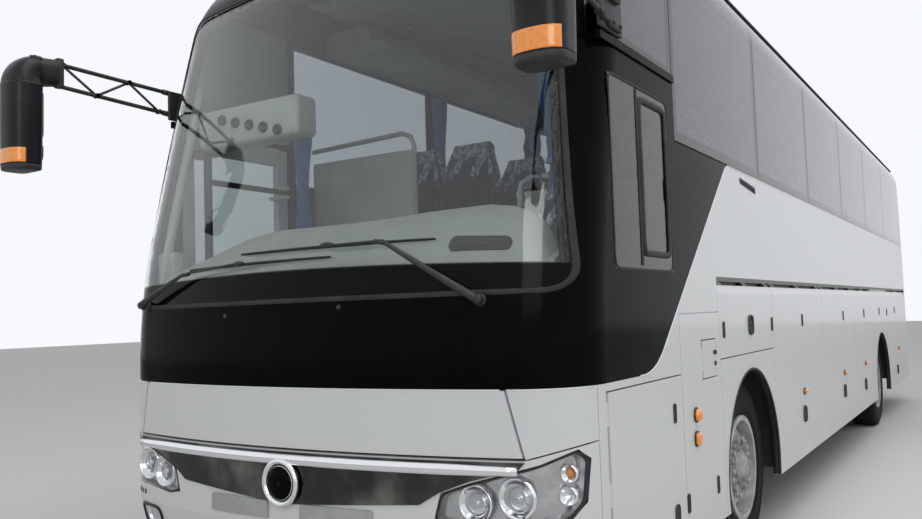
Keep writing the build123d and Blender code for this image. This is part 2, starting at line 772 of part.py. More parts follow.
with BuildPart() as side_panel_left:
    add(lower_side.part)
    with BuildSketch(LEFT):
        side_cut(
            CAB_DOOR_REAR_X, CAB_DOOR_FRONT_X + CAB_DOOR_HINGE_GAP, SKIRT_Z - 1, CAB_DOOR_TOP_Z
        )
    extrude(amount=SIDE_REACH, mode=Mode.SUBTRACT)
    with BuildSketch(LEFT):
        side_cut(
            FUEL_PANEL_REAR_X - JOINT_LINE, FUEL_PANEL_REAR_X, SKIRT_Z - 1, FUEL_PANEL_LOW_Z
        )
        side_cut(
            FUEL_PANEL_REAR_X,
            CAB_DOOR_REAR_X + JOINT_LINE,
            FUEL_PANEL_TOP_Z,
            FUEL_PANEL_TOP_Z + JOINT_LINE,
        )
        side_cut(
            CAB_DOOR_REAR_X, CAB_DOOR_REAR_X + JOINT_LINE, CAB_DOOR_TOP_Z, FUEL_PANEL_TOP_Z
        )
    extrude(amount=LEFT_OFF + JOINT_DEPTH, mode=Mode.SUBTRACT)
    with BuildSketch(LEFT):
        side_cut(
            FUEL_FLAP_REAR_X,
            FUEL_FLAP_FRONT_X + CAB_DOOR_HINGE_GAP,
            FUEL_FLAP_FOOT_Z,
            FUEL_FLAP_TOP_Z,
        )
    extrude(amount=LEFT_OFF + FUEL_RECESS, mode=Mode.SUBTRACT)
    with Locations(Location(
        (
            (FUEL_FLAP_REAR_X + FUEL_FLAP_FRONT_X) / 2,
            HALF_WIDTH - FUEL_RECESS,
            (FUEL_FLAP_FOOT_Z + FUEL_FLAP_TOP_Z) / 2,
        ),
        (-90, 0, 0),
    )):
        Cylinder(FUEL_CAP_RADIUS, FUEL_CAP_HIGH, align=(Align.CENTER, Align.CENTER, Align.MIN))
    with Locations(cab_door_plane):
        add(cab_door_seats)
    with Locations(fuel_flap_plane):
        add(fuel_flap_seats)
finish(side_panel_left, "side_panel_left")

with BuildPart() as side_panel_right:
    add(mirror(lower_side.part, about=Plane.XZ))
    with Locations(((DOORWAY_REAR_X + DOORWAY_FRONT_X) / 2, -HALF_WIDTH, DOORWAY_FOOT_Z + 1000)):
        Box(DOORWAY_FRONT_X - DOORWAY_REAR_X, SIDE_REACH, 2000, mode=Mode.SUBTRACT)
    with Locations((POST_X - POST_PLATE_BACK, POST_Y + 1.5 * POST_RADIUS, POST_FOOT_Z)):
        Box(
            DOORWAY_FRONT_X + POST_PLATE_FRONT - POST_X + POST_PLATE_BACK,
            FRAME_HALF + POST_Y + 1.5 * POST_RADIUS,
            PLATE / 2,
            align=(Align.MIN, Align.MAX, Align.CENTER),
        )
    with Locations((DOORWAY_FRONT_X + POST_PLATE_FRONT, -FRAME_HALF + 1, POST_FOOT_Z)):
        Box(POST_PLATE_FRONT - LEAF_GAP / 2, WALL / 2, PLATE / 2,
            align=(Align.MAX, Align.MAX, Align.CENTER))
    with Locations((POST_X, POST_Y, POST_FOOT_Z)):
        Cylinder(POST_RADIUS + SEAT_GAP, ROOF_Z / 4, mode=Mode.SUBTRACT)
finish(side_panel_right, "side_panel_right")

# Doors and hatches hung from the crease, left and mirrored right
for name, front, rear, low in SIDE_DOORS:
    with BuildPart() as door:
        add(lower_skin.part)
        with BuildSketch(LEFT):
            side_cut(
                FRONT_AXLE_X + rear + DOOR_GAP / 2,
                FRONT_AXLE_X + front - DOOR_GAP / 2,
                low + (0 if low == SKIRT_Z else DOOR_GAP),
                door_top_z,
            )
        extrude(amount=SIDE_REACH, mode=Mode.INTERSECT)
        with Locations((FRONT_AXLE_X + (front + rear) / 2, HINGE_Y, hinge_z)):
            add(barrels[name])
    finish(door, name + "_left")
    with BuildPart() as door_right:
        add(mirror(door.part, about=Plane.XZ))
    finish(door_right, name + "_right")

with BuildPart() as cab_door:
    add(lower_skin.part)
    with BuildSketch(LEFT):
        side_cut(
            CAB_DOOR_REAR_X + DOOR_GAP, CAB_DOOR_FRONT_X, SKIRT_Z - 1, CAB_DOOR_TOP_Z - DOOR_GAP
        )
    extrude(amount=SIDE_REACH, mode=Mode.INTERSECT)
    with Locations(cab_door_plane):
        add(cab_door_barrels)
finish(cab_door, "service_door")

with BuildPart() as fuel_flap:
    add(lower_skin.part)
    with BuildSketch(LEFT):
        side_cut(
            FUEL_FLAP_REAR_X + DOOR_GAP,
            FUEL_FLAP_FRONT_X,
            FUEL_FLAP_FOOT_Z + DOOR_GAP,
            FUEL_FLAP_TOP_Z - DOOR_GAP,
        )
    extrude(amount=LEFT_OFF + FUEL_FLAP_THICK, mode=Mode.INTERSECT)
    with Locations(fuel_flap_plane):
        add(hinge_barrels(fuel_flap_high))
finish(fuel_flap, "fuel_flap")

# Front: black mask, windscreen, flap, corner panels, bumper, bright bar and lamps
with BuildPart() as front_skin:
    add(skin)
    with Locations((CORNER_PANEL_X + PANEL_GAP, 0, 0)):
        Box(FRONT_REACH, 3 * HALF_WIDTH, 3 * ROOF_Z, align=(Align.MIN, Align.CENTER, Align.CENTER),
            mode=Mode.INTERSECT)

screen_points = both_sides(SCREEN_POINTS)
screen_area = front_area(screen_points, SCREEN_CORNER)
screen_hole = front_area(screen_points, SCREEN_CORNER, -SCREEN_FLANGE)
with BuildPart() as windscreen:
    add(glass_skin)
    with BuildSketch(FRONT):
        add(screen_area)
    extrude(amount=-SCREEN_REACH, mode=Mode.INTERSECT)
finish(windscreen, "windscreen")

with BuildPart() as front_mask:
    add(skin)
    with BuildSketch(LEFT):
        side_cut(DOME_REAR_X, NOSE_X + 100, MASK_FOOT_Z, ROOF_Z + 100)
    extrude(amount=2 * HALF_WIDTH + 100, mode=Mode.INTERSECT)
    for plane in (LEFT, LEFT.offset(2 * HALF_WIDTH + 100 - SIDE_REACH)):
        with BuildSketch(plane):
            add(side_limit)
        extrude(amount=SIDE_REACH, mode=Mode.SUBTRACT)
    with BuildSketch(FRONT):
        add(screen_hole)
    extrude(amount=-SCREEN_REACH, mode=Mode.SUBTRACT)
    add(windscreen.part, mode=Mode.SUBTRACT)
finish(front_mask, "front_mask")

lamp_area = front_area(LAMP_POINTS)
lamp_hole = front_area(LAMP_POINTS, 0, LAMP_GAP)
chrome_area = front_area(both_sides(CHROME_POINTS))
bumper_area = front_area(both_sides(BUMPER_POINTS))
flap_points = both_sides(FLAP_POINTS)
flap_area = front_area(flap_points, 0, -FLAP_GAP)
flap_hole = front_area(flap_points)

lens_form = hull(CHROME_DEPTH, SKIRT_Z - 500)
with BuildPart() as lamp_backs:
    add(front_skin.part)
    add(lens_form, mode=Mode.INTERSECT)
    with BuildSketch(FRONT):
        add(lamp_hole)
        mirror(about=Plane.YZ)
    extrude(amount=-FRONT_REACH, mode=Mode.INTERSECT)
with BuildPart() as headlamps:
    add(front_skin.part)
    with BuildSketch(FRONT):
        add(lamp_area)
        mirror(about=Plane.YZ)
    extrude(amount=-FRONT_REACH, mode=Mode.INTERSECT)
    add(lamp_backs.part)
finish(headlamps, "headlamps")

chrome_form = hull(-CHROME_PROUD) - lens_form
with BuildPart() as grille_bar:
    add(chrome_form)
    with BuildSketch(FRONT):
        add(chrome_area)
    extrude(amount=-SCREEN_REACH, mode=Mode.INTERSECT)
    with BuildSketch(FRONT):
        add(lamp_hole)
        mirror(about=Plane.YZ)
    extrude(amount=-SCREEN_REACH, mode=Mode.SUBTRACT)
    with Locations(Location((NOSE_X, 0, BOSS_Z), (0, 90, 0))):
        Cylinder(BOSS_BADGE_RADIUS, 2 * BOSS_PROUD)
finish(grille_bar, "grille_bar")

with BuildPart() as front_bumper:
    add(front_skin.part)
    with BuildSketch(FRONT):
        add(bumper_area)
    extrude(amount=-FRONT_REACH, mode=Mode.INTERSECT)
    with BuildSketch(FRONT):
        add(lamp_hole)
        mirror(about=Plane.YZ)
    extrude(amount=-FRONT_REACH, mode=Mode.SUBTRACT)
    add(grille_bar.part, mode=Mode.SUBTRACT)
finish(front_bumper, "front_bumper")

with BuildPart() as front_flap:
    add(front_skin.part)
    with BuildSketch(FRONT):
        add(flap_area)
    extrude(amount=-FRONT_REACH, mode=Mode.INTERSECT)
    for side in (-1, 1):
        for ear in (-1, 1):
            with Locations((FLAP_PIVOT_X - FLAP_LUG, side * FLAP_ARM_Y + ear * FLAP_EAR_Y,
                            FLAP_PIVOT_Z - FLAP_ARM)):
                Box(FLAP_LUG + FLAP_EAR_REACH, FLAP_EAR, 2 * FLAP_LUG,
                    align=(Align.MIN, Align.CENTER, Align.CENTER))
        with Locations(Location((FLAP_PIVOT_X, side * FLAP_ARM_Y, FLAP_PIVOT_Z - FLAP_ARM),
                                (90, 0, 0))):
            Cylinder(PIN_RADIUS, 2 * FLAP_EAR_Y + FLAP_EAR)
finish(front_flap, "front_flap")

with BuildPart() as front_corners:
    add(front_skin.part)
    with BuildSketch(FRONT):
        side_cut(-BUMPER_HALF, BUMPER_HALF, 0, MASK_FOOT_Z - PANEL_GAP)
        add(front_area(both_sides(BUMPER_POINTS), 0, PANEL_GAP), mode=Mode.SUBTRACT)
        add(flap_hole, mode=Mode.SUBTRACT)
    extrude(amount=-FRONT_REACH, mode=Mode.INTERSECT)
finish(front_corners, "front_corner_panels")

# The links that carry the front flap, on one cross tube
with BuildPart() as flap_arms:
    for side in (-1, 1):
        with Locations((FLAP_PIVOT_X, side * FLAP_ARM_Y, FLAP_PIVOT_Z - FLAP_ARM / 2)):
            Box(1.6 * FLAP_LUG, FLAP_ARM_THICK, FLAP_ARM)
        for place in (FLAP_PIVOT_Z, FLAP_PIVOT_Z - FLAP_ARM):
            with Locations(Location((FLAP_PIVOT_X, side * FLAP_ARM_Y, place), (90, 0, 0))):
                Cylinder(FLAP_LUG, FLAP_ARM_THICK)
    with Locations(Location((FLAP_PIVOT_X, 0, FLAP_PIVOT_Z - FLAP_ARM), (90, 0, 0))):
        Cylinder(PIN_RADIUS + SEAT_GAP, 3 * FLAP_ARM_Y, mode=Mode.SUBTRACT)
    with Locations(Location((FLAP_PIVOT_X, 0, FLAP_PIVOT_Z), (90, 0, 0))):
        Cylinder(PIN_RADIUS, 2 * (FLAP_ARM_Y + FLAP_EAR_Y + FLAP_EAR / 2))
finish(flap_arms, "flap_arms")

# Rear: wall with window, engine lid, bumper and lamps
BACK = Plane(origin=(REAR_X - 100, 0, 0), x_dir=(0, -1, 0), z_dir=(-1, 0, 0))
with BuildPart() as rear_skin:
    add(skin)
    with Locations((REAR_CAP_X - PANEL_GAP, 0, 0)):
        Box(FRONT_REACH, 3 * HALF_WIDTH, 3 * ROOF_Z, align=(Align.MAX, Align.CENTER, Align.CENTER),
            mode=Mode.INTERSECT)

lid_plane = Plane(
    origin=(REAR_X + HINGE_DEPTH, 0, LID_TOP_Z + HINGE_RISE), x_dir=(0, 1, 0), z_dir=(0, 0, 1)
)
lid_seats = hinge_seats(2 * LID_HALF, 2 * CREASE_HALF - HINGE_RISE + 2)
lid_barrels = hinge_barrels(2 * LID_HALF)
with BuildPart() as rear_wall:
    add(rear_skin.part)
    with BuildSketch(BACK):
        side_cut(-HALF_WIDTH, HALF_WIDTH, REAR_BUMPER_Z, ROOF_Z + 100)
    extrude(amount=-FRONT_REACH, mode=Mode.INTERSECT)
    with BuildSketch(BACK):
        side_cut(-LID_HALF - DOOR_GAP, LID_HALF + DOOR_GAP, 0, LID_TOP_Z + 2 * CREASE_HALF)
        with Locations((0, REAR_WINDOW_Z)):
            RectangleRounded(REAR_WINDOW_WIDTH, REAR_WINDOW_HEIGHT, SCREEN_CORNER)
        for side in (-1, 1):
            with Locations((side * TAIL_LAMP_Y, TAIL_LAMP_Z)):
                Rectangle(TAIL_LAMP_WIDTH + 2 * LAMP_GAP, TAIL_LAMP_HEIGHT + 2 * LAMP_GAP)
    extrude(amount=-REAR_REACH, mode=Mode.SUBTRACT)
    with Locations(lid_plane):
        add(lid_seats)
finish(rear_wall, "rear_wall")

with BuildPart() as rear_window:
    add(skin)
    with BuildSketch(BACK):
        with Locations((0, REAR_WINDOW_Z)):
            RectangleRounded(REAR_WINDOW_WIDTH, REAR_WINDOW_HEIGHT, SCREEN_CORNER)
    extrude(amount=-REAR_REACH, mode=Mode.INTERSECT)
    add(hull(GLASS, SKIRT_Z - 500), mode=Mode.SUBTRACT)
finish(rear_window, "rear_window")

with BuildPart() as tail_lamp_backs:
    add(skin)
    add(lens_form, mode=Mode.INTERSECT)
    with BuildSketch(BACK):
        for side in (-1, 1):
            with Locations((side * TAIL_LAMP_Y, TAIL_LAMP_Z)):
                Rectangle(TAIL_LAMP_WIDTH + 2 * LAMP_GAP, TAIL_LAMP_HEIGHT + 2 * LAMP_GAP)
    extrude(amount=-REAR_REACH, mode=Mode.INTERSECT)
with BuildPart() as tail_lamps:
    add(skin)
    with BuildSketch(BACK):
        for side in (-1, 1):
            with Locations((side * TAIL_LAMP_Y, TAIL_LAMP_Z)):
                Rectangle(TAIL_LAMP_WIDTH, TAIL_LAMP_HEIGHT)
    extrude(amount=-REAR_REACH, mode=Mode.INTERSECT)
    add(tail_lamp_backs.part)
finish(tail_lamps, "tail_lamps")

with BuildPart() as engine_lid:
    add(skin)
    with BuildSketch(BACK):
        side_cut(-LID_HALF, LID_HALF, LID_FOOT_Z, LID_TOP_Z)
    extrude(amount=-REAR_REACH, mode=Mode.INTERSECT)
    with BuildSketch(Plane.XZ):
        with BuildLine():
            Polyline(
                (REAR_X - CREASE_DEPTH, LID_TOP_Z - 2 * DOOR_BEVEL),
                (REAR_X + CREASE_DEPTH, LID_TOP_Z),
                (REAR_X - CREASE_DEPTH, LID_TOP_Z),
                close=True,
            )
        make_face()
    extrude(amount=LID_HALF + 10, both=True, mode=Mode.SUBTRACT)
    with Locations(lid_plane):
        add(lid_barrels)
finish(engine_lid, "engine_lid")

with BuildPart() as rear_bumper:
    add(rear_skin.part)
    with BuildSketch(BACK):
        side_cut(-HALF_WIDTH, HALF_WIDTH, 0, REAR_BUMPER_Z - PANEL_GAP)
    extrude(amount=-FRONT_REACH, mode=Mode.INTERSECT)
finish(rear_bumper, "rear_bumper")

# Entrance door and its swinging arms
leaf_middle_x = (DOORWAY_REAR_X + DOORWAY_FRONT_X) / 2
leaf_length = DOORWAY_FRONT_X - DOORWAY_REAR_X - 2 * LEAF_GAP
leaf_height = DOORWAY_HEAD_Z - DOORWAY_FOOT_Z - 2 * LEAF_GAP
leaf_middle_z = (DOORWAY_FOOT_Z + DOORWAY_HEAD_Z) / 2
with BuildPart() as entrance_door:
    with Locations((leaf_middle_x, -HALF_WIDTH + WALL / 2, leaf_middle_z)):
        Box(leaf_length, WALL, leaf_height)
    with Locations((leaf_middle_x, -HALF_WIDTH + WALL / 2, DOOR_GLASS_Z)):
        Box(leaf_length - 2 * DOOR_GLASS_INSET, 2 * WALL, DOOR_GLASS_HEIGHT, mode=Mode.SUBTRACT)
    for level in ARM_LEVELS:
        for lift in (-1, 1):
            with Locations((
                POST_X - ARM_LENGTH,
                (POST_Y - HALF_WIDTH + WALL + ARM_HALF) / 2,
                level + lift * 1.5 * ARM_HALF,
            )):
                Box(2 * ARM_HALF, HALF_WIDTH - WALL + POST_Y + ARM_HALF, ARM_HALF)
        with Locations((POST_X - ARM_LENGTH, POST_Y, level)):
            Cylinder(PIN_RADIUS, 3 * ARM_HALF)
finish(entrance_door, "entrance_door")

with BuildPart() as entrance_glass:
    with Locations((leaf_middle_x, -HALF_WIDTH + GLASS / 2, DOOR_GLASS_Z)):
        Box(leaf_length - 2 * DOOR_GLASS_INSET, GLASS, DOOR_GLASS_HEIGHT)
finish(entrance_glass, "entrance_glass")

with BuildPart() as door_arms:
    with Locations((POST_X, POST_Y, (POST_FOOT_Z + POST_TOP_Z) / 2)):
        Cylinder(POST_RADIUS, POST_TOP_Z - POST_FOOT_Z + PLATE)
    for level in ARM_LEVELS:
        with Locations((POST_X - ARM_LENGTH / 2, POST_Y, level)):
            Box(ARM_LENGTH, 2 * ARM_HALF, 2 * ARM_HALF - 10)
        with Locations((POST_X - ARM_LENGTH, POST_Y, level)):
            Cylinder(ARM_HALF, 2 * ARM_HALF - 10)
            Cylinder(PIN_RADIUS + SEAT_GAP, 3 * ARM_HALF, mode=Mode.SUBTRACT)
finish(door_arms, "door_arms")

# Frame under the floor: rails, bulkheads between the luggage bays, bay floors
with BuildPart() as chassis_frame:
    bay_front_x = FRONT_AXLE_X + BULKHEADS[0]
    bay_rear_x = FRONT_AXLE_X + BULKHEADS[-1]
    with Locations(((bay_front_x + bay_rear_x) / 2, 0, BAY_FLOOR_Z)):
        Box(bay_front_x - bay_rear_x, 2 * BAY_HALF, PLATE,
            align=(Align.CENTER, Align.CENTER, Align.MIN))
    for place in BULKHEADS:
        with Locations((FRONT_AXLE_X + place, 0, BAY_FLOOR_Z)):
            Box(PLATE, 2 * BAY_HALF, DECK_Z - DECK_THICKNESS - BAY_FLOOR_Z,
                align=(Align.CENTER, Align.CENTER, Align.MIN))
    for side in (-1, 1):
        with Locations(((bay_front_x + NOSE_X) / 2, side * RAIL_Y, FRONT_RAIL_Z)):
            Box(NOSE_X - bay_front_x, RAIL_WIDTH, RAIL_HEIGHT)
        with Locations(((bay_rear_x + REAR_X) / 2, side * REAR_RAIL_Y, REAR_RAIL_Z)):
            Box(bay_rear_x - REAR_X, RAIL_WIDTH, RAIL_HEIGHT)
    with Locations((FIREWALL_X, 0, (SKIRT_Z + FIREWALL_TOP_Z) / 2)):
        Box(PLATE, 2 * HALF_WIDTH, FIREWALL_TOP_Z - SKIRT_Z)
    with Locations((DECK_FRONT_X - PLATE / 2, 0, FRONT_RAIL_Z)):
        Box(PLATE, 2 * BAY_HALF, DECK_Z - DECK_THICKNESS - FRONT_RAIL_Z,
            align=(Align.CENTER, Align.CENTER, Align.MIN))
    for side in (-1, 1):
        for ear in (-1, 1):
            with Locations((FIREWALL_X, side * FLAP_ARM_Y + ear * FLAP_EAR_Y, FLAP_PIVOT_Z)):
                Box(FLAP_PIVOT_X - FIREWALL_X + FLAP_LUG, FLAP_EAR, 2 * FLAP_LUG,
                    align=(Align.MIN, Align.CENTER, Align.CENTER))
    with Locations(Location((FLAP_PIVOT_X, 0, FLAP_PIVOT_Z), (90, 0, 0))):
        Cylinder(PIN_RADIUS + SEAT_GAP, 3 * FLAP_ARM_Y, mode=Mode.SUBTRACT)
    add(inner_form, mode=Mode.INTERSECT)
finish(chassis_frame, "chassis_frame")

# Cabin floor: the raised deck with a podium under each row of pairs, the driver's platform
# and the entrance steps
seat_podium_front_x = SEAT_FIRST_X + SEAT_PODIUM_REACH
seat_podium_inner_y = SEAT_PAIR_Y - SEAT_PAIR_WIDTH / 2
with BuildPart() as cabin_floor:
    with Locations(((DECK_REAR_X + DECK_FRONT_X) / 2, 0, DECK_Z)):
        Box(DECK_FRONT_X - DECK_REAR_X, 2 * FRAME_HALF, DECK_THICKNESS,
            align=(Align.CENTER, Align.CENTER, Align.MAX))
    with Locations(((DECK_FRONT_X + CAB_FLOOR_FRONT_X) / 2, (STEP_Y + FRAME_HALF) / 2, CAB_FLOOR_Z)):
        Box(CAB_FLOOR_FRONT_X - DECK_FRONT_X, FRAME_HALF - STEP_Y, PLATE,
            align=(Align.CENTER, Align.CENTER, Align.MAX))
    for top, near, far in STEPS:
        with Locations((leaf_middle_x, (near + far) / 2, top)):
            Box(DOORWAY_FRONT_X - DOORWAY_REAR_X, near - far, PLATE,
                align=(Align.CENTER, Align.CENTER, Align.MAX))
    for top, near in ((STEPS[1][0], STEPS[1][2]), (CAB_FLOOR_Z, STEP_Y)):
        with Locations((leaf_middle_x, near + PLATE / 4, top - PLATE / 2)):
            Box(DOORWAY_FRONT_X - DOORWAY_REAR_X, PLATE / 2, STEP_RISE,
                align=(Align.CENTER, Align.CENTER, Align.MAX))
    for side in (-1, 1):
        with Locations((
            (REAR_CAP_X + DECK_FRONT_X) / 2, side * (FRAME_HALF - LINING / 2), LINING_FOOT_Z
        )):
            Box(DECK_FRONT_X - REAR_CAP_X, LINING, WINDOW_SILL_Z - LINING_FOOT_Z - PLATE,
                align=(Align.CENTER, Align.CENTER, Align.MIN))
        with Locations((
            (DECK_REAR_X + seat_podium_front_x) / 2,
            side * (seat_podium_inner_y + FRAME_HALF - LINING / 2) / 2,
            DECK_Z - DECK_THICKNESS / 2,
        )):
            Box(seat_podium_front_x - DECK_REAR_X,
                FRAME_HALF - LINING / 2 - seat_podium_inner_y,
                SEAT_PODIUM_HIGH + DECK_THICKNESS / 2,
                align=(Align.CENTER, Align.CENTER, Align.MIN))
    add(inner_form, mode=Mode.INTERSECT)
finish(cabin_floor, "cabin_floor")

# Wheel arch liners
with BuildPart() as arch_liners:
    for axle_x in (FRONT_AXLE_X, REAR_AXLE_X):
        for side in (-1, 1):
            with Locations(Location((axle_x, side * (LINER_INNER_Y + LINER_OUTER_Y) / 2, ARCH_Z),
                                    (90, 0, 0))):
                Cylinder(LINER_RADIUS + LINER_WALL, LINER_OUTER_Y - LINER_INNER_Y)
    for axle_x in (FRONT_AXLE_X, REAR_AXLE_X):
        for side in (-1, 1):
            with Locations(Location((axle_x, side * (LINER_INNER_Y + LINER_OUTER_Y) / 2, ARCH_Z),
                                    (90, 0, 0))):
                Cylinder(LINER_RADIUS, 2 * HALF_WIDTH / 2, mode=Mode.SUBTRACT)
    for axle_x in (FRONT_AXLE_X, REAR_AXLE_X):
        for side in (-1, 1):
            with Locations((axle_x, side * (LINER_INNER_Y + LINER_OUTER_Y) / 2,
                            ARCH_Z + LINER_RADIUS + LINER_WALL / 3)):
                Box(2 * HANGER_HALF, LINER_OUTER_Y - LINER_INNER_Y,
                    DECK_Z - DECK_THICKNESS - ARCH_Z - LINER_RADIUS - LINER_WALL / 3,
                    align=(Align.CENTER, Align.CENTER, Align.MIN))
    with Locations((0, 0, ARCH_Z)):
        Box(4 * ROOF_Z, 3 * HALF_WIDTH, ROOF_Z, align=(Align.CENTER, Align.CENTER, Align.MAX),
            mode=Mode.SUBTRACT)
finish(arch_liners, "wheel_arch_liners")

# Tyres and rims, drawn as radius and width and turned about the axle
with BuildPart() as tyre_form:
    with BuildSketch(Plane.XY):
        with BuildLine():
            Polyline(*[(r, w) for r, w in TYRE_POINTS] + [(r, -w) for r, w in TYRE_POINTS[::-1]],
                     close=True)
        make_face()
    revolve(axis=Axis.Y)


def rim_form(disc_points, hub_low, hub_high, nut_face, nut_side, bore, bore_end):
    """A rim turned about Y: barrel, two flanges, a disc with hand holes, nuts, and its hub."""
    with BuildPart() as rim:
        with BuildSketch(Plane.XY):
            with Locations(((BEAD_RADIUS - RIM_WALL / 2), 0)):
                Rectangle(RIM_WALL, 2 * RIM_HALF)
            for side in (-1, 1):
                with Locations(((BEAD_RADIUS + FLANGE_RADIUS - RIM_WALL) / 2,
                                side * (RIM_HALF + RIM_WALL / 2 - 1))):
                    Rectangle(FLANGE_RADIUS - BEAD_RADIUS + RIM_WALL, RIM_WALL + 2)
            with BuildLine():
                Polyline(*disc_points, close=True)
            make_face()
            with Locations(((bore + HUB_RADIUS) / 2, (hub_low + hub_high) / 2)):
                Rectangle(HUB_RADIUS - bore, hub_high - hub_low)
            with Locations((bore / 2 + HUB_RADIUS / 4, (hub_high + bore_end) / 2)):
                Rectangle(bore + HUB_RADIUS / 2, abs(hub_high - bore_end))
        revolve(axis=Axis.Y)
        with Locations(Location((0, nut_face + nut_side * 12, 0), (90, 0, 0))):
            with PolarLocations(NUT_CIRCLE, NUT_COUNT):
                Cylinder(NUT_RADIUS, 40)
        with Locations(Location((0, nut_face, 0), (90, 0, 0))):
            with PolarLocations(HAND_HOLE_CIRCLE, NUT_COUNT, start_angle=180 / NUT_COUNT):
                Cylinder(HAND_HOLE_RADIUS, 130, mode=Mode.SUBTRACT)
    return rim.part


front_rim_form = rim_form(FRONT_DISC, *FRONT_HUB)
outer_rim_form = rim_form(REAR_DISC, *REAR_HUB)
with BuildPart() as inner_rim_form:
    with BuildSketch(Plane.XY):
        with Locations(((BEAD_RADIUS - RIM_WALL / 2), 0)):
            Rectangle(RIM_WALL, 2 * RIM_HALF)
        for side in (-1, 1):
            with Locations(((BEAD_RADIUS + FLANGE_RADIUS - RIM_WALL) / 2,
                            side * (RIM_HALF + RIM_WALL / 2 - 1))):
                Rectangle(FLANGE_RADIUS - BEAD_RADIUS + RIM_WALL, RIM_WALL + 2)
        with BuildLine():
            Polyline(*[(r, -w) for r, w in REAR_DISC], close=True)
        make_face()
    revolve(axis=Axis.Y)

for side, word in ((1, "left"), (-1, "right")):
    turn = (0, 0, 0) if side > 0 else (0, 0, 180)
    front_place = Location((FRONT_AXLE_X, side * FRONT_WHEEL_Y, TYRE_RADIUS), turn)
    outer_place = Location((REAR_AXLE_X, side * REAR_OUTER_Y, TYRE_RADIUS), turn)
    inner_place = Location((REAR_AXLE_X, side * REAR_INNER_Y, TYRE_RADIUS), turn)
    with BuildPart() as tyre_front:
        with Locations(front_place):
            add(tyre_form.part)
    finish(tyre_front, "tyre_front_" + word)
    with BuildPart() as rim_front:
        with Locations(front_place):
            add(front_rim_form)
    finish(rim_front, "rim_front_" + word)
    with BuildPart() as tyres_rear:
        with Locations(outer_place, inner_place):
            add(tyre_form.part)
    finish(tyres_rear, "tyres_rear_" + word)
    with BuildPart() as rims_rear:
        with Locations(outer_place):
            add(outer_rim_form)
        with Locations(inner_place):
            add(inner_rim_form.part)
    finish(rims_rear, "rims_rear_" + word)
    with BuildPart() as knuckle:
        with Locations((FRONT_AXLE_X, side * KINGPIN_Y, TYRE_RADIUS)):
            Cylinder(BOSS_RADIUS, 2 * EYE_HALF)
            with Locations((0, side * (DRUM_INNER_Y - KINGPIN_Y) / 2, 0)):
                Box(BOSS_RADIUS, DRUM_INNER_Y - KINGPIN_Y + 2, 2 * BOSS_RADIUS)
            with Locations(Location((0, side * (DRUM_INNER_Y + DRUM_WIDTH / 2 - KINGPIN_Y), 0),
                                    (90, 0, 0))):
                Cylinder(DRUM_RADIUS, DRUM_WIDTH)
            with Locations(Location((0, side * (SPINDLE_MIDDLE_Y - KINGPIN_Y), 0), (90, 0, 0))):
                Cylinder(SPINDLE_RADIUS, SPINDLE_LENGTH)
            Cylinder(KINGPIN_RADIUS + SEAT_GAP, 4 * EYE_HALF, mode=Mode.SUBTRACT)
    finish(knuckle, "knuckle_" + word)

with BuildPart() as front_axle:
    with Locations((FRONT_AXLE_X, 0, BEAM_Z)):
        Box(2 * BEAM_HALF, 2 * BEAM_END_Y, 2 * BEAM_HALF)
    for side in (-1, 1):
        with Locations((FRONT_AXLE_X, side * (BEAM_END_Y - PLATE / 2), TYRE_RADIUS)):
            Box(2 * BEAM_HALF, PLATE, 2 * (EYE_HALF + EAR_HEIGHT))
        for lift in (-1, 1):
            ear_z = TYRE_RADIUS + lift * (EYE_HALF + EAR_GAP + (EAR_HEIGHT - EAR_GAP) / 2)
            with Locations((FRONT_AXLE_X, side * (BEAM_END_Y - PLATE + KINGPIN_Y + BOSS_RADIUS) / 2,
                            ear_z)):
                Box(2 * BEAM_HALF, KINGPIN_Y + BOSS_RADIUS - BEAM_END_Y + PLATE,
                    EAR_HEIGHT - EAR_GAP)
        with Locations((FRONT_AXLE_X, side * KINGPIN_Y, TYRE_RADIUS)):
            Cylinder(KINGPIN_RADIUS, 2 * (EYE_HALF + EAR_HEIGHT / 2))
        with Locations((FRONT_AXLE_X, side * RAIL_Y, BEAM_Z)):
            Cylinder(BELLOWS_RADIUS, FRONT_RAIL_Z - RAIL_HEIGHT / 2 - BEAM_Z,
                     align=(Align.CENTER, Align.CENTER, Align.MIN))
finish(front_axle, "front_axle")

with BuildPart() as rear_axle:
    with Locations(Location((REAR_AXLE_X, 0, TYRE_RADIUS), (90, 0, 0))):
        Cylinder(REAR_TUBE_RADIUS, 2 * (REAR_DRUM_Y + 1))
        Cylinder(SPINDLE_RADIUS, 2 * REAR_SPINDLE_Y)
    with Locations((REAR_AXLE_X, 0, TYRE_RADIUS)):
        Sphere(DIFFERENTIAL_RADIUS)
    for side in (-1, 1):
        with Locations(Location((REAR_AXLE_X, side * (REAR_DRUM_Y + DRUM_WIDTH), TYRE_RADIUS),
                                (90, 0, 0))):
            Cylinder(DRUM_RADIUS, 2 * DRUM_WIDTH)
        with Locations((REAR_AXLE_X, side * REAR_RAIL_Y, TYRE_RADIUS)):
            Cylinder(BELLOWS_RADIUS, REAR_RAIL_Z - RAIL_HEIGHT / 2 - TYRE_RADIUS,
                     align=(Align.CENTER, Align.CENTER, Align.MIN))
finish(rear_axle, "rear_axle")

with BuildPart() as engine:
    with Locations((ENGINE_X, 0, ENGINE_Z)):
        Box(ENGINE_LENGTH, 2 * REAR_RAIL_Y - RAIL_WIDTH, ENGINE_HEIGHT)
finish(engine, "engine")

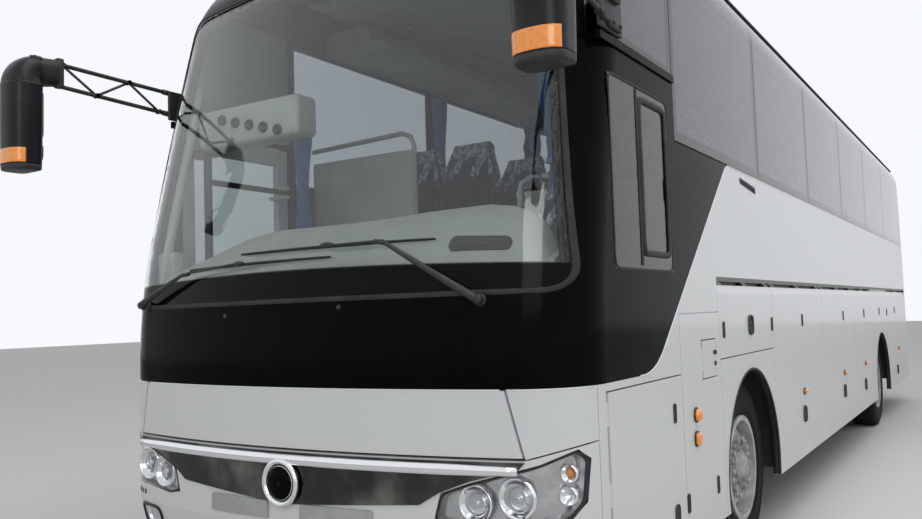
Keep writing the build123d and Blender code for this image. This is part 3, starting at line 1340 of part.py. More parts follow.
# Mirrors on tubular arms
tubes = [rod(start, end, radius) for start, end, radius in MIRROR_TUBES]
with BuildPart() as housing:
    Box(MIRROR_DEPTH, MIRROR_WIDTH, MIRROR_HEIGHT)
    fillet(housing.edges(), radius=MIRROR_ROUND)
with BuildPart() as mirror_left:
    with Locations((MIRROR_BASE_X, HALF_WIDTH + MIRROR_PLATE / 2, MIRROR_BASE_Z)):
        Box(MIRROR_BASE_LENGTH, MIRROR_PLATE, MIRROR_BASE_HEIGHT)
    for tube in tubes:
        add(tube)
    with Locations((MIRROR_X, MIRROR_Y, MIRROR_Z)):
        add(housing.part)
finish(mirror_left, "mirror_left")
with BuildPart() as mirror_right:
    add(mirror(mirror_left.part, about=Plane.XZ))
finish(mirror_right, "mirror_right")

# Seats: pairs in rows on the deck, and the driver's
with BuildPart() as seat_form:
    with BuildSketch(Plane.XZ):
        with BuildLine():
            Polyline(*SEAT_POINTS, close=True)
        make_face()
    extrude(amount=SEAT_PAIR_WIDTH / 2, both=True)
    with Locations((SEAT_LEG_X, 0, 0)):
        Box(PLATE, SEAT_PAIR_WIDTH / 2, SEAT_CUSHION_Z + PLATE,
            align=(Align.CENTER, Align.CENTER, Align.MIN))
with BuildPart() as seats_left:
    for row in range(SEAT_ROWS):
        with Locations((
            SEAT_FIRST_X - row * SEAT_PITCH, SEAT_PAIR_Y, DECK_Z + SEAT_PODIUM_HIGH
        )):
            add(seat_form.part)
finish(seats_left, "seats_left")
with BuildPart() as seats_right:
    add(mirror(seats_left.part, about=Plane.XZ))
finish(seats_right, "seats_right")

with BuildPart() as driver_seat:
    with Locations((DRIVER_X, DRIVER_Y, CAB_FLOOR_Z)):
        add(seat_form.part)
    with Locations((DRIVER_X, DRIVER_Y, CAB_FLOOR_Z)):
        Box(ROOF_Z, DRIVER_SEAT_WIDTH, ROOF_Z, mode=Mode.INTERSECT)
finish(driver_seat, "driver_seat")

# Dashboard with the fixed steering column
wheel_axis = Vector(-sin(COLUMN_LEAN), 0, cos(COLUMN_LEAN))
hub_point = Vector(STEERING_X, DRIVER_Y, STEERING_Z)
column_foot = hub_point - wheel_axis * COLUMN_LENGTH
column_top = hub_point - wheel_axis * STEERING_HUB_HALF
column = rod(tuple(column_foot), tuple(column_top), COLUMN_RADIUS)
pin_top = hub_point + wheel_axis * STEERING_HUB_HALF / 2
column_pin = rod(tuple(column_foot), tuple(pin_top), PIN_RADIUS)
dash_room = hull(WALL + PANEL_GAP, SKIRT_Z - 500)
with BuildPart() as dashboard:
    with BuildSketch(Plane.XZ.offset(-DASH_LEFT_Y)):
        with BuildLine():
            Polyline(*[(DASH_X + x, z) for x, z in DASH_POINTS], close=True)
        make_face()
    extrude(amount=DASH_LEFT_Y - DASH_RIGHT_Y)
    add(dash_room, mode=Mode.INTERSECT)
    add(column)
    add(column_pin)
finish(dashboard, "dashboard")

wheel_plane = Plane(origin=hub_point, x_dir=(0, 1, 0), z_dir=wheel_axis)
with BuildPart() as steering_wheel:
    with Locations(wheel_plane):
        Torus(STEERING_RADIUS, STEERING_RIM)
        Cylinder(STEERING_HUB_RADIUS, 2 * STEERING_HUB_HALF - 2)
        for angle in (0, 120, 240):
            with Locations(Location((0, 0, 0), (0, 0, angle + 30))):
                with Locations((STEERING_RADIUS / 2, 0, 0)):
                    Box(STEERING_RADIUS - 4, 2 * STEERING_RIM, STEERING_RIM)
        with Locations((0, 0, -STEERING_HUB_HALF / 2)):
            Cylinder(PIN_RADIUS + SEAT_GAP, 2 * STEERING_HUB_HALF + 2, mode=Mode.SUBTRACT)
finish(steering_wheel, "steering_wheel")


def ahead_of_screen(y, z, gap):
    """A point a little ahead of the windscreen, straight out from its surface."""
    bend_end_z = SCREEN_FOOT_Z + SCREEN_BEND_RADIUS * sin(SCREEN_LEAN)
    bend_x = PLAN_RADIUS - SCREEN_BEND_RADIUS
    if z < bend_end_z:
        reach = bend_x + sqrt(SCREEN_BEND_RADIUS**2 - (z - SCREEN_FOOT_Z) ** 2)
        lean = asin((z - SCREEN_FOOT_Z) / SCREEN_BEND_RADIUS)
    else:
        reach = bend_x + SCREEN_BEND_RADIUS * cos(SCREEN_LEAN) - (z - bend_end_z) * tan(SCREEN_LEAN)
        lean = SCREEN_LEAN
    out = reach + gap * cos(lean)
    depth = sqrt(reach**2 - y**2)
    return PLAN_AXIS_X + depth * out / reach, y * out / reach, z + gap * sin(lean)


# Wipers: pivot, elbow, blade carrier, blade ends
wiper_rods = []
for pivot, elbow, carrier, blade_low, blade_high in WIPERS:
    gaps = [(pivot, WIPER_GAP - WIPER_RADIUS), (elbow, WIPER_GAP), (carrier, WIPER_GAP)]
    bends = [ahead_of_screen(y, z, gap) for (y, z), gap in gaps]
    pivot_foot = ahead_of_screen(*pivot, SEAT_GAP)
    wiper_rods.append(rod(pivot_foot, ahead_of_screen(*pivot, WIPER_GAP), WIPER_PIVOT_RADIUS))
    wiper_rods.append(rod(bends[0], bends[1], WIPER_RADIUS))
    wiper_rods.append(rod(bends[1], bends[2], WIPER_RADIUS))
    carrier_foot = ahead_of_screen(*carrier, BLADE_GAP)
    wiper_rods.append(rod(carrier_foot, bends[2], WIPER_RADIUS))
    steps = [
        (blade_low[0] + (blade_high[0] - blade_low[0]) * i / BLADE_STEPS,
         blade_low[1] + (blade_high[1] - blade_low[1]) * i / BLADE_STEPS)
        for i in range(BLADE_STEPS + 1)
    ]
    stations = [ahead_of_screen(y, z, BLADE_GAP) for y, z in steps]
    wiper_rods += [rod(a, b, BLADE_RADIUS) for a, b in zip(stations, stations[1:])]
with BuildPart() as wipers:
    for piece in wiper_rods:
        add(piece)
finish(wipers, "wipers")

# On the roof: air conditioner and two hatches
with BuildPart() as roof_ac:
    with Locations((AC_X, 0, ROOF_Z)):
        Box(AC_LENGTH, AC_WIDTH, AC_HEIGHT, align=(Align.CENTER, Align.CENTER, Align.MIN))
    chamfer(roof_ac.edges().group_by(Axis.Z)[-1], length=AC_CHAMFER)
finish(roof_ac, "roof_ac")
with BuildPart() as roof_hatches:
    for place in HATCHES:
        with Locations((place, 0, ROOF_Z)):
            Box(HATCH_SIZE, HATCH_SIZE, HATCH_HEIGHT, align=(Align.CENTER, Align.CENTER, Align.MIN))
finish(roof_hatches, "roof_hatches")
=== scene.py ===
# %% [markdown]
# The model is a touring coach, seen from close ahead of its left front corner.
# Its steelwork comes from a CAD file as ready meshes, and this lesson dresses them.
# The first cell loads those meshes.

# %% Load the coach
from math import asin, atan2, ceil, cos, exp, hypot, pi, radians, sin, sqrt, tan

import bmesh
import bpy
from mathutils import Matrix, Vector


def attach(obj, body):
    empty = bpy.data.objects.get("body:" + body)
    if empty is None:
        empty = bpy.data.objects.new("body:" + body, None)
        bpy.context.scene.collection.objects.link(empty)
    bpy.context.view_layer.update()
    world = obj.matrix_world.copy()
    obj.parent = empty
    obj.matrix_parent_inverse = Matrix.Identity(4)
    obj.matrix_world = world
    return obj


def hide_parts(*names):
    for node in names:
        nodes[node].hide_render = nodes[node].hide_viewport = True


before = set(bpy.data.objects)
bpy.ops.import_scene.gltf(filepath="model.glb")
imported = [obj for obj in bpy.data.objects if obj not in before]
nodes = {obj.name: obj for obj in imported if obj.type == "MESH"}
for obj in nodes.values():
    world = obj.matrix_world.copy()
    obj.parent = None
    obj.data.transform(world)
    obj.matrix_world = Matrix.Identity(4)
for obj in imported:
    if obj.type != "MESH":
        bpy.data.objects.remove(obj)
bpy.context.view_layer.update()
scene = bpy.context.scene
scene.view_settings.view_transform = "Standard"

# %% [markdown]
# The camera stands where the photographer stood: at eye height, a little left of the coach's nose,
# turned well to the side. Its place and its lens were worked out from straight edges on the coach,
# so the render and the photograph can be laid over each other.

# %% Camera
CAMERA_AT = Vector((8.479, 2.594, 1.476))
CAMERA_YAW = radians(32.31)
CAMERA_PITCH = radians(3.63)
CAMERA_ROLL = radians(-1.824)
LENS = 33.72


def camera_axes():
    """Right, up and forward of the camera, as three vectors."""
    forward = Vector((
        -cos(CAMERA_YAW) * cos(CAMERA_PITCH),
        -sin(CAMERA_YAW) * cos(CAMERA_PITCH),
        sin(CAMERA_PITCH),
    ))
    level = Vector((-sin(CAMERA_YAW), cos(CAMERA_YAW), 0))
    above = level.cross(forward)
    right = level * cos(CAMERA_ROLL) + above * sin(CAMERA_ROLL)
    up = above * cos(CAMERA_ROLL) - level * sin(CAMERA_ROLL)
    return right, up, forward


right, up, forward = camera_axes()
camera_data = bpy.data.cameras.new("camera")
camera_data.lens = LENS
camera_data.sensor_width = 36
camera_data.clip_end = 200
camera = bpy.data.objects.new("camera", camera_data)
scene.collection.objects.link(camera)
turn = Matrix((right, up, -forward)).transposed().to_4x4()
camera.matrix_world = Matrix.Translation(CAMERA_AT) @ turn
scene.camera = camera
print("camera at", tuple(CAMERA_AT))

# %% [markdown]
# A finish is a small graph of nodes: each node takes numbers or colours and hands one on.
# Wired by hand, even a short sum fills a screen, so two helpers let the sums be written
# as plain Python. Wire is one socket with the usual signs, and Graph makes the nodes.

# %% Node helpers
def operator(operation, swap=False):
    """One kind of sum, done by a maths node."""
    def made(self, other=0.0):
        first, second = (other, self) if swap else (self, other)
        return self.graph.node("ShaderNodeMath", {"operation": operation}, {0: first, 1: second})
    return made


class Wire:
    """One socket of a node, on which sums can be written as in plain Python."""

    def __init__(self, graph, socket):
        self.graph = graph
        self.socket = socket

    __add__, __radd__ = operator("ADD"), operator("ADD", swap=True)
    __sub__, __rsub__ = operator("SUBTRACT"), operator("SUBTRACT", swap=True)
    __mul__, __rmul__ = operator("MULTIPLY"), operator("MULTIPLY", swap=True)
    __pow__ = operator("POWER")
    __gt__, __lt__ = operator("GREATER_THAN"), operator("LESS_THAN")
    __mod__ = operator("FLOORED_MODULO")
    size, sine = operator("ABSOLUTE"), operator("SINE")
    largest, smallest = operator("MAXIMUM"), operator("MINIMUM")

    def clipped(self):
        return self.largest(0.0).smallest(1.0)

    def ramp(self, low, high):
        """0 below low, 1 above high, and a smooth rise between them."""
        return self.graph.node(
            "ShaderNodeMapRange", {"interpolation_type": "SMOOTHSTEP"},
            {"Value": self, "From Min": low, "From Max": high},
        )


class Graph:
    """The nodes of a material or of the world."""

    def __init__(self, owner):
        owner.use_nodes = True
        self.tree = owner.node_tree

    def put(self, socket, value):
        if isinstance(value, Wire):
            self.tree.links.new(value.socket, socket)
        elif socket.type == "RGBA":
            socket.default_value = (*value, 1)
        else:
            socket.default_value = value

    def node(self, kind, settings=None, values=None, out=0):
        made = self.tree.nodes.new(kind)
        for key, value in (settings or {}).items():
            setattr(made, key, value)
        for key, value in (values or {}).items():
            self.put(made.inputs[key], value)
        return Wire(self, made.outputs[out])


class Paint(Graph):
    """A material under construction; what differs over the surface is given as wires."""

    SOCKETS = {
        "base": "Base Color", "rough": "Roughness", "metal": "Metallic", "coat": "Coat Weight",
        "coat_rough": "Coat Roughness", "glass": "Transmission Weight", "ior": "IOR",
        "glow": "Emission Color", "glow_strength": "Emission Strength", "normal": "Normal",
        "sheen": "Sheen Weight", "specular": "Specular IOR Level",
    }

    def __init__(self, name):
        self.material = bpy.data.materials.new(name)
        super().__init__(self.material)
        self.shader = self.tree.nodes["Principled BSDF"]
        self.output = self.tree.nodes["Material Output"]

    def set(self, **values):
        for key, value in values.items():
            self.put(self.shader.inputs[self.SOCKETS[key]], value)

    def place(self):
        """Where a point is on its own piece, in metres."""
        return self.node("ShaderNodeTexCoord", out=3)

    def part(self, axis):
        """One coordinate of that place: 0, 1 or 2."""
        return self.node("ShaderNodeSeparateXYZ", None, {0: self.place()}, out=axis)

    def noise(self, scale, detail=3.0):
        return self.node("ShaderNodeTexNoise", None,
                         {"Vector": self.place(), "Scale": scale, "Detail": detail})

    def mix(self, share, first, second):
        """A blend of two colours."""
        return self.node("ShaderNodeMix", {"data_type": "RGBA"},
                         {0: share, 6: first, 7: second}, out=2)

    def bump(self, height, strength=0.3, distance=0.001):
        return self.node("ShaderNodeBump", None,
                         {"Height": height, "Strength": strength, "Distance": distance})


print("node helpers ready")

# %% [markdown]
# Coach paint is glossy, so most of what the eye reads on it is reflection.
# A big soft lamp overhead and a bright plain world give it long clean reflections.
# The world is white to the camera and in reflections, and weaker as a light,
# which keeps the white panels from burning out.

# %% World, lamps and floor
WORLD_LIGHT = 0.5
world = bpy.data.worlds.new("world")
scene.world = world
sky = Graph(world)
background = sky.tree.nodes["Background"]
light_path = sky.tree.nodes.new("ShaderNodeLightPath")
camera_ray, glossy_ray, clear_ray = (
    Wire(sky, light_path.outputs[f"Is {ray} Ray"]) for ray in ("Camera", "Glossy", "Transmission"))
seen = camera_ray.largest(glossy_ray).largest(clear_ray)
sky.put(background.inputs["Strength"], WORLD_LIGHT + seen * (1 - WORLD_LIGHT))
sky.put(background.inputs["Color"], (0.93, 0.95, 0.97))


def lamp(name, at, towards, size, power):
    """A square soft lamp."""
    data = bpy.data.lights.new(name, "AREA")
    data.shape = "SQUARE"
    data.size = size
    data.energy = power
    made = bpy.data.objects.new(name, data)
    scene.collection.objects.link(made)
    made.location = at
    made.rotation_euler = (Vector(towards) - Vector(at)).to_track_quat("-Z", "Y").to_euler()


lamp("lamp_overhead", (4, 4, 11), (0, 0, 1), 9, 520)
lamp("lamp_front", (16, 7, 6), (5, 0, 1.5), 6, 300)

floor_paint = Paint("floor_grey")
floor_paint.set(base=(0.72, 0.72, 0.71), rough=0.9)
print("light for the world", WORLD_LIGHT)

# %% [markdown]
# A few helpers make meshes in the ways that vehicle parts are made: turned on a lathe,
# bent from tube, pressed from sheet or moulded with rounded edges.
# Each one returns a finished mesh, and one more call makes it a piece that moves with a body.

# %% Mesh helpers
SIDES = ("left", "right")
SIGNS = (("left", 1), ("right", -1))


def piece(name, body, paint, mesh):
    """Puts a mesh into the scene as a piece that moves with a body."""
    made = bpy.data.objects.new(name, mesh)
    scene.collection.objects.link(made)
    mesh.materials.clear()
    mesh.materials.append(paint.material)
    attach(made, body)
    return made


def pair(name, body, paint, mesh):
    """The same piece for both sides of the coach; the right one is mirrored."""
    return [piece(f"{name}_{side}", body.replace("SIDE", side), paint,
                  mesh if side == "left" else mirrored(mesh)) for side in SIDES]


def mesh_of(name, points, faces, smooth=True):
    """A mesh from its points and faces."""
    mesh = bpy.data.meshes.new(name)
    mesh.from_pydata([tuple(p) for p in points], [], [tuple(f) for f in faces])
    mesh.validate()
    bm = bmesh.new()
    bm.from_mesh(mesh)
    bmesh.ops.recalc_face_normals(bm, faces=bm.faces)
    bm.to_mesh(mesh)
    bm.free()
    mesh.shade_smooth() if smooth else mesh.shade_flat()
    return mesh


def joined(name, meshes):
    """Several meshes as one."""
    bm = bmesh.new()
    for mesh in meshes:
        bm.from_mesh(mesh)
    made = bpy.data.meshes.new(name)
    bm.to_mesh(made)
    bm.free()
    for mesh in meshes:
        bpy.data.meshes.remove(mesh)
    return made


def loft(rings, close=True, caps=True, loop=False):
    """A skin through rings of points, all of one length; a loop comes back to its start."""
    n, count = len(rings[0]), len(rings)
    faces = []
    for i in range(count if loop else count - 1):
        j = (i + 1) % count
        for k in range(n if close else n - 1):
            m = (k + 1) % n
            faces.append((i * n + k, i * n + m, j * n + m, j * n + k))
    if caps and close and not loop:
        faces.append(tuple(range(n)))
        faces.append(tuple((count - 1) * n + k for k in range(n)))
    return mesh_of("loft", [p for ring in rings for p in ring], faces)


def turns(steps, offset=0.0):
    """The angles of evenly spaced steps round a circle."""
    return [2 * pi * (k + offset) / steps for k in range(steps)]


def lathe(profile, centre, axis="Y", steps=64):
    """Turns a closed profile of radius and height about an axis through a centre."""
    centre = Vector(centre)
    rings = []
    for a in turns(steps):
        ring = []
        for r, h in profile:
            c, s = r * cos(a), r * sin(a)
            ring.append(centre + Vector({"X": (h, c, s), "Y": (s, h, c), "Z": (c, s, h)}[axis]))
        rings.append(ring)
    return loft(rings, loop=True)


def tube(path, radius, sides=12, closed=False):
    """A round tube along a path, with its frame carried from point to point."""
    path = [Vector(p) for p in path]
    radii = radius if isinstance(radius, (list, tuple)) else [radius] * len(path)
    rings = []
    n = len(path)
    normal = None
    for i, p in enumerate(path):
        before = path[i - 1] if i or closed else p
        after = path[(i + 1) % n] if i < n - 1 or closed else p
        along = (after - before).normalized()
        if normal is None:
            normal = along.orthogonal().normalized()
        normal = (normal - along * normal.dot(along)).normalized()
        across = along.cross(normal)
        rings.append([p + (normal * cos(a) + across * sin(a)) * radii[i] for a in turns(sides)])
    return loft(rings, loop=closed)


def rounded(mesh, width, segments=3):
    """The same mesh with its sharp edges bevelled."""
    bm = bmesh.new()
    bm.from_mesh(mesh)
    sharp = [e for e in bm.edges if len(e.link_faces) == 2
             and e.calc_face_angle(0) > radians(35)]
    bmesh.ops.bevel(bm, geom=sharp, offset=width, segments=segments, profile=0.5,
                    affect="EDGES", clamp_overlap=True)
    bm.to_mesh(mesh)
    bm.free()
    mesh.shade_smooth()
    return mesh


def block(low, high, width=0.004, segments=3):
    """A block between two corners, its edges rounded."""
    x, y, z = zip(low, high)
    points = [(x[i], y[j], z[k]) for i in (0, 1) for j in (0, 1) for k in (0, 1)]
    faces = [(0, 1, 3, 2), (4, 6, 7, 5), (0, 4, 5, 1), (2, 3, 7, 6), (0, 2, 6, 4), (1, 5, 7, 3)]
    return rounded(mesh_of("block", points, faces), width, segments)


def mirrored(mesh):
    """A copy of the mesh on the coach's other side."""
    made = mesh.copy()
    made.transform(Matrix.Scale(-1, 4, (0, 1, 0)))
    made.flip_normals()
    return made


print("mesh helpers ready")

# %% [markdown]
# A coach's white is a two-coat paint: a pale colour under a clear lacquer.
# Up close the lacquer has a faint orange-peel ripple, and road dust gathers near the skirt.
# Both come from noise, so no picture file is needed.
# The long hinge seam over the luggage doors lies in shade, so the paint deep in the seam is painted
# black as shade, and the chamfer just above it dark grey as shade, chosen by height and by distance
# from the side.

# %% Body paints
SEAM_Z, SEAM_HALF = 1.600, 0.0110
SLOPE_Z, SLOPE_HALF = 1.6225, 0.0122
SEAM_OUTER_Y, SEAM_FRONT_X = 1.2745, 3.90
WHITE = (0.68, 0.695, 0.70)


def road_dust(paint):
    """How dusty a point is: most at the skirt, and patchy."""
    patches = paint.noise(1.6, 3.0).ramp(0.25, 0.85)
    return (1 - paint.part(2).ramp(0.30, 1.0)) * (0.45 + 0.55 * patches)


def orange_peel(paint, strength=0.04):
    return paint.bump(paint.noise(140.0, 1.0), strength, 0.0004)


white_paint = Paint("white_paint")
dust = road_dust(white_paint)
height = white_paint.part(2)
inside = (white_paint.part(1).size() < SEAM_OUTER_Y) * (white_paint.part(0) < SEAM_FRONT_X)
# Painted shade: black deep in the hinge seam, dark grey on the chamfer above it.
seam_shade = ((height - SEAM_Z).size() < SEAM_HALF) * inside
slope_shade = ((height - SLOPE_Z).size() < SLOPE_HALF) * inside
# Seam and chamfer take the painted shade colours; elsewhere the white carries road dust.
white_paint.set(
    base=white_paint.mix(
        (seam_shade + slope_shade).clipped(),
        white_paint.mix(dust * 0.22, WHITE, (0.42, 0.40, 0.37)),
        white_paint.mix(seam_shade, (0.13, 0.13, 0.12), (0.008, 0.008, 0.008)),
    ),
    rough=0.30 + dust * 0.35, specular=0.30, coat=0.35, coat_rough=0.06,
    normal=orange_peel(white_paint),
)
black_paint = Paint("black_paint")
haze = black_paint.noise(2.2, 4.0).ramp(0.45, 0.8)
black_paint.set(
    base=black_paint.mix(haze * 0.5, (0.0030, 0.0029, 0.0038), (0.007, 0.0068, 0.0075)),
    rough=0.10 + haze * 0.10, specular=0.03,
    normal=orange_peel(black_paint, 0.03),
)
# A paler, glossier copy of the body white: a painted highlight for thin folded edges and ribs.
pale_highlight_white = Paint("pale_highlight_white")
pale_highlight_white.set(
    base=pale_highlight_white.mix(pale_highlight_white.noise(3.0).ramp(0.3, 0.8),
                        (0.80, 0.81, 0.81), (0.72, 0.73, 0.73)),
    rough=0.20, specular=0.5, coat=0.5,
)
roof_paint = Paint("roof_paint")
above_edge = roof_paint.part(2).ramp(3.440, 3.444)
grime = roof_paint.noise(1.8, 5.0).ramp(0.4, 0.75)
roof_paint.set(
    base=roof_paint.mix(above_edge, (0.007, 0.007, 0.008),
                        roof_paint.mix(grime * 0.4, WHITE, (0.48, 0.47, 0.45))),
    rough=0.12 + grime * above_edge * 0.35, specular=0.3,
    normal=orange_peel(roof_paint),
)
print("body paints ready")

# %% [markdown]
# The bright bar between the lamps is moulded plastic with a chrome film.
# Its colour is almost the room's own reflection, so the roughness has to stay low,
# with a little smearing where hands and brushes have been.
# Most plainer parts share one recipe: two close tones that drift into each other,
# a roughness that wavers, and a fine grain as a bump.

# %% Bright trim, plastic and rubber
def finish(name, tones, patches, rough, speckle=None, edges=(0.4, 0.7), grain=None, **more):
    """Two tones blended by a noise of a scale and detail, and an uneven roughness.

    The roughness follows a noise of its own where speckle gives a scale.
    The grain is a bump: scale, detail, strength and depth.
    """
    paint = Paint(name)
    share = paint.noise(*patches).ramp(*edges)
    wear = paint.noise(speckle) if speckle else share
    paint.set(base=paint.mix(share, *tones), rough=rough[0] + wear * rough[1], **more)
    if grain:
        paint.set(normal=paint.bump(paint.noise(*grain[:2]), *grain[2:]))
    return paint


chrome = Paint("chrome")
smear = chrome.noise(9.0, 4.0).ramp(0.45, 0.7)
chrome.set(base=(0.80, 0.81, 0.82), metal=1.0, rough=0.05 + smear * 0.08)
# For the bright bar, noise blends dark smoked chrome with pale warm patches, which are painted
# reflections of warm surroundings.
smoked_chrome_painted_reflections = finish(
    "smoked_chrome_painted_reflections", ((0.050, 0.049, 0.048), (0.30, 0.285, 0.26)), (2.6, 4.0), (0.07, 0.06),
    edges=(0.42, 0.72), metal=1.0)
grained_black = finish(
    "grained_black", ((0.016, 0.016, 0.017), (0.030, 0.030, 0.031)), (6.0, 3.0), (0.45, 0.2),
    20.0, grain=(900.0, 2.0, 0.25, 0.0005))
mirror_plastic = finish(
    "mirror_plastic", ((0.010, 0.010, 0.012), (0.018, 0.018, 0.020)), (5.0, 3.0), (0.26, 0.12),
    30.0, grain=(700.0, 2.0, 0.12, 0.0004), specular=0.22)
rubber = finish(
    "rubber", ((0.013, 0.013, 0.014), (0.026, 0.026, 0.026)), (8.0, 3.0), (0.62, 0.2),
    40.0, grain=(300.0, 2.0, 0.2, 0.0005))
pale_plastic = finish(
    "pale_plastic", ((0.44, 0.45, 0.44), (0.50, 0.51, 0.50)), (4.0, 3.0), (0.45, 0.12),
    14.0, grain=(800.0, 2.0, 0.2, 0.0004))
print("trim finishes ready")

# %% [markdown]
# Tyre rubber is blue-black when new and goes grey-brown where the road has rubbed dust into it.
# The distance from the wheel's middle tells the tread from the sidewall.
# That distance needs a front and a rear version, because the wheels stand at different places.

# %% Tyres and wheels
WHEEL_X = (3.190, -2.960)
WHEEL_Z = 0.515


def from_axle(paint, axle_x):
    """Distance from a wheel's own axis, in metres."""
    x, z = paint.part(0) - axle_x, paint.part(2) - WHEEL_Z
    return (x * x + z * z) ** 0.5


def tyre_paint(name, axle_x):
    paint = Paint(name)
    worn = from_axle(paint, axle_x).ramp(0.490, 0.510)
    dust = paint.noise(16.0, 5.0).ramp(0.35, 0.75)
    base = paint.mix(dust * 0.5, (0.006, 0.006, 0.007), (0.020, 0.018, 0.017))
    paint.set(
        base=paint.mix(worn * 0.6, base, (0.034, 0.031, 0.028)),
        rough=0.66 + worn * 0.2 + dust * 0.1, specular=0.12,
        normal=paint.bump(paint.noise(420.0, 2.0), 0.3, 0.0006),
    )
    return paint


def wheel_paint(name, axle_x):
    """Silver lacquer on pressed steel, with brake dust in the hollows."""
    paint = Paint(name)
    dust = paint.noise(14.0, 5.0).ramp(0.35, 0.7)
    deep = 1 - from_axle(paint, axle_x).ramp(0.12, 0.27)
    grime = (dust * 0.6 + deep * 0.4).clipped()
    paint.set(
        base=paint.mix(grime * 0.70, (0.55, 0.56, 0.57), (0.075, 0.066, 0.055)),
        metal=0.45 - grime * 0.35,
        rough=0.36 + grime * 0.35,
        normal=paint.bump(paint.noise(220.0, 3.0), 0.15, 0.0005),
    )
    return paint


tyre_paints = [tyre_paint(f"tyre_{n}", x) for n, x in zip(("front", "rear"), WHEEL_X)]
wheel_paints = [wheel_paint(f"wheel_{n}", x) for n, x in zip(("front", "rear"), WHEEL_X)]
print("wheel finishes ready")

# %% [markdown]
# Glass needs real thickness to look right: light is tinted once going in and once coming out.
# The windscreen is nearly clear with a grey-green cast, and the side panes are smoked.
# A black printed border hides the glue line along the foot of the windscreen,
# so the height decides between clear glass and black enamel.

# %% Glass
BORDER_TOP_Z = 1.685
BORDER_DROP = 0.02


def glass_paint(name, tint):
    """Tinted glass with a faint film of dust."""
    paint = Paint(name)
    film = paint.noise(1.6, 4.0).ramp(0.5, 0.8)
    paint.set(base=paint.mix(film * 0.3, tint, tuple(0.9 * c for c in tint)),
              rough=0.0, glass=1.0, ior=1.45)
    return paint


smoked_glass = glass_paint("smoked_glass", (0.30, 0.32, 0.34))
cab_pane = (smoked_glass.part(0) > 4.45) * (smoked_glass.part(2) < 2.50)
smoked_glass.set(base=smoked_glass.mix(cab_pane, (0.29, 0.31, 0.34), (0.13, 0.13, 0.125)))
door_glass = glass_paint("door_glass", (0.30, 0.33, 0.33))
lens_glass = glass_paint("lens_glass", (0.97, 0.98, 0.98))


def screen_paint():
    """Clear glass above, and black enamel below a line that bends down to the corners."""
    paint = glass_paint("screen_glass", (0.86, 0.91, 0.89))
    enamel = paint.node(
        "ShaderNodeBsdfPrincipled", None,
        {"Base Color": (0.0035, 0.0034, 0.0042), "Roughness": 0.10, "Specular IOR Level": 0.08},
    )
    across = paint.part(1).size()
    edge = BORDER_TOP_Z - BORDER_DROP * across * across
    below = 1 - (paint.part(2) - edge).ramp(-0.006, 0.006)
    blend = paint.node("ShaderNodeMixShader", None, {
        0: below, 1: Wire(paint, paint.shader.outputs[0]), 2: enamel,
    })
    paint.put(paint.output.inputs["Surface"], blend)
    return paint


screen_glass = screen_paint()
print("glass ready")

# %% [markdown]
# Lamps read as lamps because of what is behind the lens: a bright bowl and a coloured cap.
# The amber and red pieces are solid coloured plastic with a faint painted glow, standing in for
# light through the plastic, which keeps them from going brown in the shade.

# %% Lamp colours and small finishes
def coloured_lens(name, tones, axis, ribs, **more):
    """Ribbed coloured plastic: so many ribs to the metre along one axis."""
    paint = Paint(name)
    rib = ((paint.part(axis) * ribs) % 1.0 - 0.5).size()
    paint.set(base=paint.mix(paint.noise(60.0).ramp(0.3, 0.7), *tones),
              normal=paint.bump(rib, 0.25, 0.0006), **more)
    return paint


# The amber and red glows are painted light: these lamps are unlit.
amber = coloured_lens("amber", ((0.86, 0.26, 0.03), (0.95, 0.34, 0.05)), 1, 400.0,
                      rough=0.22, coat=0.8, glow=(0.9, 0.25, 0.02), glow_strength=0.06)
red_lens = coloured_lens("red_lens", ((0.42, 0.012, 0.012), (0.52, 0.02, 0.02)), 2, 300.0,
                         rough=0.18, coat=1.0, glow=(0.5, 0.01, 0.01), glow_strength=0.05)
reflector = Paint("reflector")
reflector.set(base=(0.86, 0.87, 0.88), metal=1.0, rough=0.08 + reflector.noise(40.0) * 0.06)
mirror_face = Paint("mirror_face")
mirror_face.set(base=(0.85, 0.87, 0.88), metal=1.0, rough=0.02 + mirror_face.noise(6.0) * 0.02)
frame_steel = finish(
    "frame_steel", ((0.030, 0.030, 0.031), (0.085, 0.045, 0.028)), (7.0, 6.0), (0.6, 0.25),
    edges=(0.55, 0.75), grain=(60.0, 5.0, 0.3, 0.001))
engine_iron = finish(
    "engine_iron", ((0.20, 0.205, 0.21), (0.05, 0.045, 0.04)), (5.0, 5.0), (0.6, -0.2),
    edges=(0.45, 0.7), grain=(90.0, 5.0, 0.4, 0.0015), metal=0.3)
floor_vinyl = finish(
    "floor_vinyl", ((0.16, 0.17, 0.18), (0.30, 0.31, 0.32)), (260.0, 1.0), (0.5, 0.15),
    edges=(0.55, 0.62), grain=(200.0, 2.0, 0.15, 0.0005))
print("small finishes ready")

# %% [markdown]
# Seats are trimmed in a woven plush: threads cross every couple of millimetres,
# and a cloudy pattern of paler blue is woven through the dark ground.
# The threads are made by two ripples at right angles, which stay with the cloth as it bends.

# %% Fabrics
def weave(paint, pitch=0.003, strength=0.35):
    """Crossed threads as bump, in metres of pitch."""
    turns = 2 * pi / pitch
    across = (paint.part(1) * turns).sine()
    along = ((paint.part(2) + paint.part(0)) * turns).sine()
    return paint.bump(across * along, strength, 0.0006)


def fabric(name, ground, figure, scale=22.0, low=0.52, high=0.6):
    paint = Paint(name)
    swirl = paint.noise(scale, 3.0).ramp(low, high)
    flecks = paint.noise(180.0, 1.0).ramp(0.45, 0.6)
    shade = paint.mix(flecks * 0.35, ground, tuple(min(1, 1.7 * c) for c in ground))
    paint.set(
        base=paint.mix(swirl, shade, figure), rough=0.92, sheen=0.25, specular=0.2,
        normal=weave(paint),
    )
    return paint


